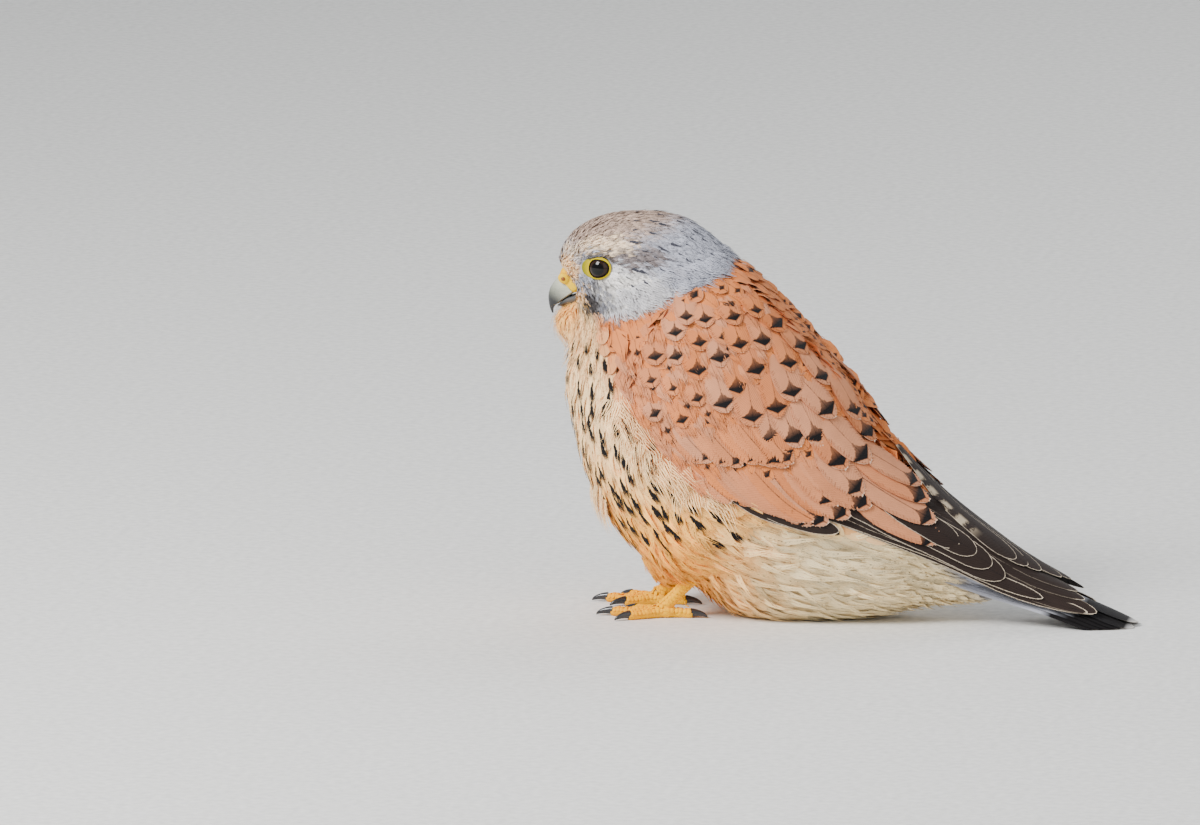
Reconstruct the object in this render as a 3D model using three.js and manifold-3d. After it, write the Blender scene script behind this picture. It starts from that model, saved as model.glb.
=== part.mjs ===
// A life-size common kestrel, a male, crouched on a flat surface with its wings folded over its tail.
// Millimetres, Z up. The bird faces -X, its left side is -Y, and the floor that it stands on is Z = 0.
// The origin is under the middle of the bird, on the floor.
import * as THREE from "three";
import { mergeVertices } from "three/addons/utils/BufferGeometryUtils.js";
import Module from "manifold-3d";

const wasm = await Module();
wasm.setup();

// Driving dimensions
const GAP = 0.35; // between one piece and the next
const FLOOR_SIZE = [400, 200, 20]; // of the block that is cut away under the floor
const TRUNK_LEAN = THREE.MathUtils.degToRad(49); // of the trunk below the level, towards the tail
const HOOD_CUT = -172; // along the trunk: where the head ends and the neck starts
const NECK_CUT = -150; // where the neck ends and the torso starts
const RUMP_CUT = -8; // where the torso ends and the rump with its tail coverts starts
const RING_SIDES = 24; // facets round the trunk and the head
const TRUNK_STEPS = 24; // facets along the trunk
const HEAD_STEPS = 14; // along the head, closer together near the bill
const HEAD_NEAR_BILL = 0.55; // share of even spacing in them
const HEAD_WIDEST = 0.46; // of the head's height, from its top
const FULLNESS = 0.9; // under 1 the sections are fuller than ellipses
const EYE = { x: -110.6, y: 14.6, z: 162.4, radius: 6.2 };
const EYE_TURN = THREE.MathUtils.degToRad(14); // of each eye towards the bill
const RIM_INNER = 4.5; // orbital ring, measured from the eye's axis
const RIM_OUTER = 6.4;
const RIM_CREST = 5.3; // where the ring is highest
const RIM_SHOULDER = 5.6; // the part of the eye that its outer edge is level with
const RIM_DEPTH = 1.8;
const SOCKET_FLOOR = 1.2; // the eye socket's depth, out of the head from the eye's middle
const SOCKET_REACH = 12;
const EYE_SIDES = 16;
const EYE_STEPS = 8;
const BILL_SIDES = 12;
const UPPER_BILL_STEPS = 9;
const LOWER_BILL_STEPS = 4;
const CERE_STEPS = 3;
const NOSTRIL = { x: -129.1, y: 6.2, z: 154.6, radius: 0.95, deep: 3.2 };
const TAIL_ARCH = 30; // radius across the folded tail
const TAIL_VANE_HALF = 6.1;
const TAIL_HALF = 18.7; // of the whole folded tail
const TAIL_ROOT_SHARES = [0, 0.15, 0.3, 0.42]; // along the tail, of the fleshy root under its feathers
const TAIL_ROOT = { half: 11.5, thick: 2.6, taper: 2, drop: 3 };
const TAIL_PAIRS = 6;
const VANE_THICK = 0.55;
const TAIL_STEP = 0.87; // from one layer of the folded tail down to the next
const TOE_RADIUS = 2.5;
const TOE_PADS = [0, 0.22, 0.46, 0.72, 1]; // along a toe, every second one a swelling
const TOE_SIDES = 8;
const CLAW_LENGTH = 10.5;
const CLAW_SWEEP = 1.25; // radians that a claw curves through
const CLAW_STEPS = [0, 0.25, 0.5, 0.75, 1];
const PALM = { long: 4.6, wide: 4.4, tall: 2.8, z: 2.2 };
const ANKLE_HEIGHT = 5.4;
const TARSUS_RADIUS = 2.9;
const TARSUS_END_RADIUS = 3.35; // at the hem and at the ankle
const TARSUS_SIDES = 12;
const THIGH_SIDES = 18;
const THIGH_STEPS = 9;

// The trunk as sections square to its lean. at is the distance along the trunk, mid the place of the widest
// line, and front, back and half are how far the section reaches to the breast, the back and each side.
const TRUNK = [
  { at: -203, mid: 45, front: 14, back: 8, half: 9 },
  { at: -196, mid: 42, front: 32, back: 18, half: 17 },
  { at: -186, mid: 36, front: 43, back: 30, half: 22 },
  { at: -175, mid: 31, front: 47, back: 39.5, half: 25.5 },
  { at: -162, mid: 26, front: 56, back: 46, half: 31 },
  { at: -148, mid: 21, front: 58, back: 51.5, half: 37 },
  { at: -128, mid: 15, front: 62, back: 57.5, half: 43 },
  { at: -105, mid: 12, front: 65, back: 61, half: 46 },
  { at: -80, mid: 12, front: 65, back: 60, half: 46 },
  { at: -55, mid: 16, front: 60, back: 52, half: 43 },
  { at: -30, mid: 25, front: 61, back: 41, half: 37 },
  { at: -5, mid: 38, front: 45, back: 28, half: 29 },
  { at: 15, mid: 50, front: 25, back: 17, half: 19 },
  { at: 32, mid: 60, front: 11, back: 10, half: 12 },
  { at: 42, mid: 66, front: 5, back: 6, half: 7 },
];

// The form that the two folded wings make together, in the same sections. low is the wing's lower edge.
const WINGS = [
  { at: -162, mid: 22, front: 52, back: 51, half: 36, low: 4 },
  { at: -148, mid: 18, front: 56, back: 57, half: 42, low: -3 },
  { at: -128, mid: 14, front: 60, back: 61.5, half: 47.5, low: -3 },
  { at: -105, mid: 12, front: 60, back: 64, half: 50, low: -2 },
  { at: -80, mid: 14, front: 60, back: 62, half: 50, low: 3 },
  { at: -55, mid: 20, front: 55, back: 53.5, half: 47, low: 15 },
  { at: -30, mid: 33, front: 45, back: 41, half: 41, low: 32 },
  { at: -5, mid: 50, front: 28, back: 27, half: 34, low: 46 },
  { at: 20, mid: 61, front: 20, back: 22, half: 26, low: 58 },
  { at: 38, mid: 69, front: 14, back: 18.5, half: 21.5, low: 68 },
  { at: 54, mid: 79, front: 12, back: 15, half: 18.5, low: 78 },
  { at: 74, mid: 94, front: 8, back: 8.5, half: 15, low: 94 },
];
const WING_TOP_ANGLE = THREE.MathUtils.degToRad(77); // the wing's upper edge, from the widest line
const WING_TOP_LIMIT = 0.985; // of the way to the ridge, where feathers end
const WING_SHELL = 5.5; // greatest thickness of the wing's own body
const WING_SPAN = [-160, 44]; // of that body, along the trunk
const WING_STEPS = 16;
const WING_BANDS = 7; // facets across it
const SHOULDER_STEPS = 4; // of WING_STEPS, over which its front end rounds off

// The head as sections from the bill to the nape. rake tilts a section's lower part back, to clear the bill.
const HEAD = [
  { at: -133, top: 165.5, bottom: 158.5, half: 3.5, rake: 0.95 },
  { at: -131.4, top: 170, bottom: 151, half: 7.2, rake: 0.95 },
  { at: -128, top: 175.6, bottom: 142, half: 10.8, rake: 0.62 },
  { at: -123, top: 180, bottom: 132, half: 14.6, rake: 0.3 },
  { at: -116, top: 183.7, bottom: 126, half: 18, rake: 0.1 },
  { at: -107, top: 186.2, bottom: 122, half: 20.6, rake: 0 },
  { at: -96, top: 187, bottom: 121, half: 22.4, rake: 0 },
  { at: -84, top: 186.2, bottom: 124, half: 23, rake: 0 },
  { at: -72, top: 182.5, bottom: 130, half: 21.5, rake: 0 },
  { at: -62, top: 172, bottom: 140, half: 17.5, rake: 0 },
  { at: -55, top: 160, bottom: 148, half: 8, rake: 0 },
];
const RAKE_LEVEL = 160; // the sections are upright above this height

// Each leg: its foot's middle, the way that the foot heads, the middle of the thigh's hem and its sections
const LEGS = {
  left: {
    side: -1,
    foot: [-80, -16.5],
    turn: THREE.MathUtils.degToRad(4),
    hem: [-66.5, -17, 19.5],
    thigh: [
      { z: 68, x: -48, y: 27, long: 14, wide: 9 },
      { z: 58, x: -52, y: 26, long: 25, wide: 18.5 },
      { z: 43, x: -57, y: 24.5, long: 27, wide: 19.5 },
      { z: 30, x: -63, y: 21, long: 20, wide: 15.5 },
      { z: 22, x: -66.5, y: 18, long: 11, wide: 10 },
    ],
  },
  right: {
    side: 1,
    foot: [-88, 15.5],
    turn: THREE.MathUtils.degToRad(-4),
    hem: [-83.5, 16, 9.4],
    thigh: [
      { z: 64, x: -52, y: 27, long: 14, wide: 9 },
      { z: 53, x: -58, y: 26, long: 26, wide: 18.5 },
      { z: 36, x: -69, y: 23, long: 26, wide: 18.5 },
      { z: 22, x: -79, y: 18.5, long: 18, wide: 14 },
      { z: 13, x: -83.5, y: 16, long: 8.5, wide: 8 },
    ],
  },
};

// The outlines of a long and of a short vane: places along it as shares and its half widths there as shares
const LONG_VANE = { steps: [0, 0.5, 0.87, 1], widths: [0.6, 0.98, 0.9, 0.22] };
const SHORT_VANE = { steps: [0, 0.7, 1], widths: [0.7, 1, 0.4] };

// A wing's feathers from the lowest layer up. Each tract has its count, the root and tip of its first and
// its last feather, half a vane's width and how the vanes lie.
const TRACTS = {
  primaries: {
    count: 5,
    first: { root: [-46, 28], tip: [71, 93.5] },
    last: { root: [-40, 44], tip: [33, 75] },
    shape: { half: 5, sunk: -1.8, raised: -0.9, tilt: 1.3 },
  },
  secondaries: {
    count: 4,
    first: { root: [-44, 44], tip: [24, 73] },
    last: { root: [-50, 60], tip: [1, 71.5] },
    shape: { half: 5.4, sunk: -1.1, raised: 0.2, tilt: 1 },
  },
  primaryCoverts: {
    count: 2,
    first: { root: [-82, 3], tip: [-40, 27] },
    last: { root: [-80, 9], tip: [-35, 33] },
    shape: { half: 3.6, sunk: -1.4, raised: 0.1, tilt: 0.7 },
  },
  lowerGreaterCoverts: {
    count: 4,
    first: { root: [-110, 3], tip: [-76, 9] },
    last: { root: [-90, 24], tip: [-42, 29] },
    shape: { half: 4.4, sunk: -1, raised: 1.3, tilt: 0.9, outline: SHORT_VANE },
  },
  upperGreaterCoverts: {
    count: 4,
    first: { root: [-86, 30], tip: [-38, 35] },
    last: { root: [-72, 45], tip: [-31, 53] },
    shape: { half: 4.6, sunk: -1, raised: 1.5, tilt: 0.9 },
  },
  tertials: {
    count: 3,
    first: { root: [-50, 54], tip: [1, 67] },
    last: { root: [-64, 68], tip: [-25, 72] },
    shape: { half: 6.2, sunk: -0.7, raised: 1.6, tilt: 0.8 },
  },
  medianCoverts: {
    count: 5,
    first: { root: [-124, 5], tip: [-97, 11] },
    last: { root: [-98, 33], tip: [-68, 43] },
    shape: { half: 4.4, sunk: -0.8, raised: 2, tilt: 0.9, outline: SHORT_VANE },
  },
  lesserCoverts: {
    count: 4,
    first: { root: [-139, 5], tip: [-117, 5] },
    last: { root: [-122, 30], tip: [-98, 33] },
    shape: { half: 4.6, sunk: -0.8, raised: 1.8, tilt: 0.9, outline: SHORT_VANE },
  },
  longScapulars: {
    count: 3,
    first: { root: [-90, 46], tip: [-51, 58] },
    last: { root: [-82, 67], tip: [-44, 71.5] },
    shape: { half: 6, sunk: -0.7, raised: 1.9, tilt: 0.9 },
  },
  middleScapulars: {
    count: 4,
    first: { root: [-116, 33], tip: [-79, 43] },
    last: { root: [-108, 65], tip: [-72, 69.5] },
    shape: { half: 5.4, sunk: -0.7, raised: 1.9, tilt: 0.9, outline: SHORT_VANE },
  },
  upperScapulars: {
    count: 4,
    first: { root: [-138, 30], tip: [-102, 41] },
    last: { root: [-134, 64], tip: [-99, 68.5] },
    shape: { half: 5.4, sunk: -0.7, raised: 1.9, tilt: 0.9, outline: SHORT_VANE },
  },
  shoulder: {
    count: 4,
    first: { root: [-157, 25], tip: [-125, 33] },
    last: { root: [-152, 58], tip: [-122, 66] },
    shape: { half: 5, sunk: -0.9, raised: 2.1, tilt: 0.9, outline: SHORT_VANE },
  },
};

// Sections of the bill. tx, tz and bx, bz are the top and the bottom of each one in the bird's middle plane,
// and half is its width to each side.
const UPPER_BILL = [
  { at: 0, tx: -132.1, tz: 155.2, bx: -125.6, bz: 148.9, half: 5.9 },
  { at: 1, tx: -134.8, tz: 152.6, bx: -128.6, bz: 146.7, half: 5.4 },
  { at: 2, tx: -136.8, tz: 149.5, bx: -131, bz: 144.8, half: 4.6 },
  { at: 3, tx: -137.6, tz: 146.2, bx: -132.9, bz: 143.1, half: 3.6 },
  { at: 4, tx: -137.5, tz: 143, bx: -134.4, bz: 141.8, half: 2.4 },
  { at: 5, tx: -136.9, tz: 140.1, bx: -135.4, bz: 139.9, half: 1.25 },
  { at: 6, tx: -135.9, tz: 137.7, bx: -135.3, bz: 137.9, half: 0.3 },
];
const LOWER_BILL = [
  { at: 0, tx: -123.5, tz: 147, bx: -124.2, bz: 141.6, half: 5.3 },
  { at: 1, tx: -128.3, tz: 145.4, bx: -128.7, bz: 141, half: 4.6 },
  { at: 2, tx: -131.3, tz: 143.2, bx: -131.4, bz: 141, half: 3.2 },
  { at: 3, tx: -133.3, tz: 141.6, bx: -133.2, bz: 141.2, half: 1.2 },
];
const CERE = [
  { at: 0, tx: -128.3, tz: 161.2, bx: -121.6, bz: 151.4, half: 6.6 },
  { at: 1, tx: -130.8, tz: 158.6, bx: -123.8, bz: 149.9, half: 6.4 },
  { at: 2, tx: -132, tz: 155.7, bx: -125.2, bz: 149.2, half: 6.1 },
];

// The tail's upper line: from the rump down to the floor at its tip
const TAIL_LINE = [
  { at: 0, x: 16, z: 38.5 },
  { at: 0.3, x: 54, z: 28.2 },
  { at: 0.6, x: 90, z: 18.6 },
  { at: 0.82, x: 116, z: 11.2 },
  { at: 1, x: 137.3, z: 2.2 },
];

// Digits: turn from straight ahead towards the outer side in degrees, length to the claw
const DIGITS = [
  { name: "inner", turn: -30, length: 17 },
  { name: "middle", turn: -2, length: 25 },
  { name: "outer", turn: 30, length: 18.5 },
  { name: "hind", turn: 176, length: 12.5 },
];

const COLOURS = {
  hood: [0x9d9ea6, 0.85],
  rufous: [0xc4835f, 0.8],
  buff: [0xe3cfae, 0.85],
  flight: [0x2c2726, 0.7],
  grey: [0x8f949c, 0.75],
  horn: [0x3a3e46, 0.35],
  cere: [0xf2b705, 0.45],
  skin: [0xe9a51a, 0.55],
  claw: [0x15161a, 0.3],
  iris: [0x120c09, 0.08],
};

// A station's values between those listed, on a smooth curve through them.
function between(stations, at) {
  const last = stations.length - 1;
  let i = 0;
  while (i < last - 1 && stations[i + 1].at < at) {
    i += 1;
  }
  const [p, q] = [stations[i], stations[i + 1]];
  const before = stations[Math.max(i - 1, 0)];
  const after = stations[Math.min(i + 2, last)];
  const span = q.at - p.at;
  const u = (at - p.at) / span;
  const found = { at };
  for (const key of Object.keys(p).filter((name) => name !== "at")) {
    const leave = (span * (q[key] - before[key])) / (q.at - before.at);
    const arrive = (span * (after[key] - p[key])) / (after.at - p.at);
    found[key] =
      p[key] * (1 + u * u * (2 * u - 3)) +
      q[key] * u * u * (3 - 2 * u) +
      leave * u * (1 - u) * (1 - u) -
      arrive * u * u * (1 - u);
  }
  return found;
}

// A place given along the trunk, across it towards the back, and to one side.
function onTrunk(along, across, aside) {
  const [c, s] = [Math.cos(TRUNK_LEAN), Math.sin(TRUNK_LEAN)];
  return new THREE.Vector3(c * along + s * across, aside, c * across - s * along);
}

// A point of a trunk-like form at an angle from its widest line: 90 degrees is the back's middle line.
function onForm(stations, along, angle, side, grow = 0) {
  const s = between(stations, along);
  const reach = (Math.sin(angle) > 0 ? s.back : s.front) + grow;
  const aside = (s.half + grow) * full(Math.cos(angle));
  return onTrunk(along, s.mid + reach * full(Math.sin(angle)), side * aside);
}

// Makes the sections a little fuller than ellipses.
function full(share) {
  return Math.sign(share) * Math.abs(share) ** FULLNESS;
}

// Turns rings of points, all of one count, into a closed solid with a point at the middle of each end.
function loft(rings) {
  const count = rings[0].length;
  const points = rings.flat();
  const faces = [];
  rings.slice(1).forEach((_, r) => {
    for (let i = 0; i < count; i++) {
      const j = (i + 1) % count;
      const [a, b] = [r * count + i, r * count + j];
      const [c, d] = [a + count, b + count];
      faces.push([a, b, c], [b, d, c]);
    }
  });
  [0, rings.length - 1].forEach((r, end) => {
    const middle = new THREE.Vector3();
    rings[r].forEach((p) => middle.add(p));
    points.push(middle.divideScalar(count));
    for (let i = 0; i < count; i++) {
      const pair = [r * count + i, r * count + ((i + 1) % count)];
      faces.push(end ? [points.length - 1, ...pair] : [points.length - 1, ...pair.reverse()]);
    }
  });
  return solid(points, faces);
}

// A manifold of points and faces, turned so that its faces point out.
function solid(points, faces) {
  const made = new wasm.Manifold(
    new wasm.Mesh({
      numProp: 3,
      vertProperties: new Float32Array(points.flatMap((p) => [p.x, p.y, p.z])),
      triVerts: new Uint32Array(faces.flat()),
    }),
  );
  return made.volume() > 0 ? made : solid(points, faces.map(([a, b, c]) => [a, c, b]));
}

// A manifold of a three.js geometry, without its normals and its seams.
function solidOf(geometry) {
  const bare = geometry.clone();
  bare.deleteAttribute("normal");
  bare.deleteAttribute("uv");
  const merged = mergeVertices(bare, 1e-4);
  const position = merged.getAttribute("position");
  const points = Array.from({ length: position.count }, (_, i) =>
    new THREE.Vector3().fromBufferAttribute(position, i),
  );
  const index = [...merged.index.array];
  const faces = Array.from({ length: index.length / 3 }, (_, i) => index.slice(3 * i, 3 * i + 3));
  return solid(points, faces.filter(([a, b, c]) => a !== b && b !== c && c !== a));
}

// The union of many solids
function joined(solids) {
  return wasm.Manifold.union(solids);
}

// Keeps the largest closed surface of a solid, filling any hollow that its joining sealed.
function largest(made) {
  const pieces = made.decompose();
  return pieces.reduce((best, p) => (p.volume() > best.volume() ? p : best));
}

// A named three.js mesh of a solid, in one of COLOURS
function meshOf(name, made, colour) {
  const { vertProperties, triVerts, numProp, numVert } = largest(made).getMesh();
  const places = new Float32Array(numVert * 3);
  for (let i = 0; i < numVert; i++) {
    places.set(vertProperties.subarray(i * numProp, i * numProp + 3), 3 * i);
  }
  const geometry = new THREE.BufferGeometry();
  geometry.setAttribute("position", new THREE.BufferAttribute(places, 3));
  geometry.setIndex([...triVerts]);
  geometry.computeVertexNormals();
  const [tint, roughness] = COLOURS[colour];
  const material = new THREE.MeshStandardMaterial({ color: tint, roughness, metalness: 0 });
  const mesh = new THREE.Mesh(geometry, material);
  mesh.name = name;
  return mesh;
}

// The trunk from under the crown to the tail's root
function trunk(grow = 0) {
  const first = TRUNK[0].at;
  const last = TRUNK[TRUNK.length - 1].at;
  const rings = Array.from({ length: TRUNK_STEPS + 1 }, (_, i) => {
    const along = first + ((last - first) * i) / TRUNK_STEPS;
    return Array.from({ length: RING_SIDES }, (_, j) => {
      const angle = (2 * Math.PI * j) / RING_SIDES;
      return onForm(TRUNK, along, angle, 1, grow);
    });
  });
  return loft(rings);
}

// The head under its feathers' outline, from the bill's root to the nape
function skull() {
  const span = HEAD[HEAD.length - 1].at - HEAD[0].at;
  const rings = Array.from({ length: HEAD_STEPS + 1 }, (_, i) => {
    const u = i / HEAD_STEPS;
    const s = between(HEAD, HEAD[0].at + span * (HEAD_NEAR_BILL * u + (1 - HEAD_NEAR_BILL) * u * u));
    const middle = s.top - HEAD_WIDEST * (s.top - s.bottom);
    return Array.from({ length: RING_SIDES }, (_, j) => {
      const angle = (2 * Math.PI * j) / RING_SIDES;
      const reach = Math.sin(angle) > 0 ? s.top - middle : middle - s.bottom;
      const z = middle + reach * full(Math.sin(angle));
      const x = s.at + s.rake * Math.max(RAKE_LEVEL - z, 0);
      return new THREE.Vector3(x, s.half * full(Math.cos(angle)), z);
    });
  });
  return loft(rings);
}

// An ellipsoid, turned about the Y axis
function ball(x, y, z, long, wide, tall, turn = 0) {
  const geometry = new THREE.SphereGeometry(1, 12, 8);
  geometry.scale(long, wide, tall).rotateY(turn).translate(x, y, z);
  return solidOf(geometry);
}

// The brow ridge over each eye, the full cheeks and the soft chin under the bill
function faceForms() {
  const brows = [-1, 1].map((side) => ball(-110, side * 13.8, 169, 13, 5.6, 4.6, 0.1));
  const cheeks = [-1, 1].map((side) => ball(-104, side * 9, 144, 20, 12.5, 17, 0.2));
  return [...brows, ...cheeks, ball(-120.5, 0, 134.5, 13.5, 12.5, 10.5)];
}

// Turns a profile round the eye's own axis. Each of its points is [distance from the axis, distance out].
function roundEye(side, profile) {
  const geometry = new THREE.LatheGeometry(profile.map(([r, out]) => new THREE.Vector2(r, out)), EYE_SIDES);
  geometry.rotateX(side < 0 ? Math.PI : 0);
  geometry.rotateZ(side * EYE_TURN);
  geometry.translate(EYE.x, side * EYE.y, EYE.z);
  return solidOf(geometry);
}

// The whole ball of the eye
function eyeball(side, grow = 0) {
  const radius = EYE.radius + grow;
  const profile = Array.from({ length: EYE_STEPS + 1 }, (_, i) => {
    const angle = (Math.PI * i) / EYE_STEPS - Math.PI / 2;
    return [i % EYE_STEPS ? radius * Math.cos(angle) : 0, radius * Math.sin(angle)];
  });
  return roundEye(side, profile);
}

// The bare ring of lid that frames the eye
function orbitalRing(side) {
  const reach = EYE.radius + GAP;
  const onEye = (r) => Math.sqrt(reach * reach - r * r);
  return roundEye(side, [
    [RIM_INNER, onEye(RIM_INNER)],
    [RIM_INNER + 0.15, onEye(RIM_INNER) + 0.75],
    [RIM_CREST, onEye(RIM_INNER) + 0.55],
    [RIM_OUTER, onEye(RIM_SHOULDER) + 0.15],
    [RIM_OUTER, onEye(RIM_SHOULDER) - RIM_DEPTH],
    [RIM_SHOULDER + 0.15, onEye(RIM_SHOULDER + 0.15)],
    [RIM_INNER, onEye(RIM_INNER)],
  ]);
}
// The round hollow in the head that the eye and its ring sit in
function eyeSocket(side) {
  const pit = roundEye(side, [
    [0, SOCKET_FLOOR],
    [RIM_OUTER + GAP, SOCKET_FLOOR],
    [RIM_OUTER + GAP, SOCKET_REACH],
    [0, SOCKET_REACH],
  ]);
  return joined([pit, eyeball(side, GAP)]);
}

// A bill piece: vaulted above, or below where vault is -1, and nearly flat on its other side.
function billPiece(stations, vault, steps, grow = 0) {
  const last = stations.length - 1;
  const rings = Array.from({ length: steps + 1 }, (_, i) => {
    const s = between(stations, (last * i) / steps);
    const top = new THREE.Vector3(s.tx, 0, s.tz);
    const bottom = new THREE.Vector3(s.bx, 0, s.bz);
    const [arch, base] = vault > 0 ? [top, bottom] : [bottom, top];
    const up = arch.clone().sub(base);
    const out = up.clone().normalize();
    return Array.from({ length: BILL_SIDES }, (_, j) => {
      const angle = (2 * Math.PI * j) / BILL_SIDES;
      const rise = Math.sin(angle);
      const vaulted = rise > -1e-6;
      const height = vaulted ? rise : 0.12 * rise;
      return base
        .clone()
        .addScaledVector(up, height)
        .addScaledVector(out, grow * Math.sign(Math.round(rise * 9)))
        .setY((s.half + grow) * Math.cos(angle) * (vaulted ? Math.sqrt(1.08 - 0.2 * rise) : 0.94));
    });
  });
  return loft(rings);
}

// A nostril is a round pit in the side of the cere.
function nostril(side) {
  const pit = new THREE.CylinderGeometry(NOSTRIL.radius, NOSTRIL.radius, NOSTRIL.deep, 10);
  pit.rotateX(Math.PI / 2).translate(NOSTRIL.x, side * NOSTRIL.y, NOSTRIL.z);
  return solidOf(pit);
}

// A feather's vane along a path on a surface. surface(p, q) gives a point, and from and to are places [p, q]
// on it. sunk and raised are how far the vane lies above the surface at its root and its tip, and tilt lowers
// the edge nearer the back and lifts the other one, as slates lie.
function vane(surface, from, to, shape, grow = 0) {
  const { half, sunk, raised, tilt, outline = LONG_VANE } = shape;
  const small = 1e-2;
  const place = ([p, q]) => surface(p, q);
  const last = outline.steps.length - 1;
  const way = [to[0] - from[0], to[1] - from[1]];
  const rings = outline.steps.map((u, i) => {
    const c = [from[0] + way[0] * u, from[1] + way[1] * u];
    const origin = place(c);
    const alongP = place([c[0] + small, c[1]]).sub(origin).divideScalar(small);
    const alongQ = place([c[0], c[1] + small]).sub(origin).divideScalar(small);
    const normal = alongP.clone().cross(alongQ).normalize();
    if (normal.dot(outward(origin)) < 0) {
      normal.negate();
    }
    const tangent = alongP.clone().multiplyScalar(way[0]).addScaledVector(alongQ, way[1]).normalize();
    const across = normal.clone().cross(tangent);
    if (across.z < 0) {
      across.negate();
    }
    const [pp, qq, pq] = [alongP.dot(alongP), alongQ.dot(alongQ), alongP.dot(alongQ)];
    const [bp, bq] = [across.dot(alongP), across.dot(alongQ)];
    const det = pp * qq - pq * pq;
    const step = [(bp * qq - bq * pq) / det, (bq * pp - bp * pq) / det];
    const lift = sunk + (raised - sunk) * u;
    const reach = half * outline.widths[i] + grow;
    const thick = VANE_THICK / 2 + grow;
    const past = i === 0 ? -grow : i === last ? grow : 0;
    const at = (v, height) =>
      place([c[0] + v * step[0], c[1] + v * step[1]])
        .addScaledVector(normal, height - (tilt * v) / half)
        .addScaledVector(tangent, past);
    const corners = [[-reach, thick], [reach, thick], [reach, -thick], [-reach, -thick]];
    return corners.map(([v, height]) => at(v, lift + height));
  });
  return blade(rings);
}

// Away from the middle of the bird
function outward(p) {
  return new THREE.Vector3(0, p.y, Math.max(p.z, 10));
}

// Joins four-point rings into a closed blade whose two faces are split alike.
function blade(rings) {
  const faces = [];
  rings.slice(1).forEach((_, r) => {
    const [n, m] = [4 * r, 4 * r + 4];
    faces.push([n, n + 1, m], [n + 1, m + 1, m]);
    faces.push([n + 1, n + 2, m + 2], [n + 1, m + 2, m + 1]);
    faces.push([n + 3, m + 3, n + 2], [n + 2, m + 3, m + 2]);
    faces.push([n + 3, n, m + 3], [n, m, m + 3]);
  });
  const end = 4 * (rings.length - 1);
  faces.push([0, 3, 1], [1, 3, 2], [end, end + 1, end + 3], [end + 1, end + 2, end + 3]);
  return solid(rings.flat(), faces);
}

// The angle of a wing place given across the trunk
function wingAngle(along, across) {
  const s = between(WINGS, along);
  const share = (across - s.mid) / (across > s.mid ? s.back : s.front);
  return Math.asin(Math.sign(share) * Math.min(Math.abs(share), WING_TOP_LIMIT) ** (1 / FULLNESS));
}

// The wing's own body: a shell from the rounded shoulder back, lying on the trunk
function wingShell(side, grow = 0) {
  const [first, last] = WING_SPAN;
  const trunkEnd = TRUNK[TRUNK.length - 1].at;
  const outer = [];
  const inner = [];
  for (let i = 0; i <= WING_STEPS; i++) {
    const along = first + ((last - first) * i) / WING_STEPS;
    const low = wingAngle(along, between(WINGS, along).low + 3) - grow / 40;
    const top = WING_TOP_ANGLE - 0.05;
    const share = Math.min((i + 0.4) / SHOULDER_STEPS, 1);
    const spread = Math.sqrt(1 - (1 - share) ** 2);
    const middle = (low + top) / 2;
    const thickest = WING_SHELL * (1 - 0.55 * (i / WING_STEPS));
    for (let j = 0; j <= WING_BANDS; j++) {
      const angle = middle + (top - low) * spread * (j / WING_BANDS - 0.5);
      const skin = onForm(WINGS, along, angle, side, grow - 0.8 - 2.2 * (1 - spread));
      const body = onForm(TRUNK, Math.min(along, trunkEnd), angle, side, -1.5);
      const inward = body.clone().sub(skin);
      const depth = 2 * grow + Math.min(Math.max(inward.length(), 0.8), thickest);
      outer.push(skin);
      inner.push(skin.clone().addScaledVector(inward.normalize(), depth));
    }
  }
  return slab(outer, inner, WING_STEPS, WING_BANDS);
}

// A closed slab between two grids of points
function slab(outer, inner, rows, columns) {
  const width = columns + 1;
  const offset = outer.length;
  const faces = [];
  for (let i = 0; i < rows; i++) {
    for (let j = 0; j < columns; j++) {
      const a = i * width + j;
      const c = a + width;
      const [b, d] = [a + 1, c + 1];
      faces.push([a, b, c], [b, d, c]);
      faces.push([offset + a, offset + c, offset + b], [offset + b, offset + c, offset + d]);
    }
  }
  const wall = (a, b) => faces.push([a, offset + a, b], [b, offset + a, offset + b]);
  for (let j = 0; j < columns; j++) {
    wall(j, j + 1);
    wall(rows * width + j + 1, rows * width + j);
  }
  for (let i = 0; i < rows; i++) {
    wall((i + 1) * width, i * width);
    wall(i * width + columns, (i + 1) * width + columns);
  }
  return solid([...outer, ...inner], faces);
}

// Places the feathers of one tract. first and last give the lowest and the highest feather's root and tip,
// each as [along, across] on the trunk.
function tract(side, grow, count, first, last, shape) {
  const surface = (along, angle) => onForm(WINGS, along, angle, side);
  const mix = (a, b, u) => a.map((v, i) => v + (b[i] - v) * u);
  return Array.from({ length: count }, (_, i) => {
    const u = count > 1 ? i / (count - 1) : 0;
    const root = mix(first.root, last.root, u);
    const tip = mix(first.tip, last.tip, u);
    const onWing = ([along, across]) => [along, wingAngle(along, across)];
    return vane(surface, onWing(root), onWing(tip), shape, grow);
  });
}

// A folded wing: its shell with every tract's feathers on it
function wing(side, grow = 0) {
  const feathers = Object.values(TRACTS).flatMap(({ count, first, last, shape }) =>
    tract(side, grow, count, first, last, shape),
  );
  return joined([wingShell(side, grow), ...feathers]);
}

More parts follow.
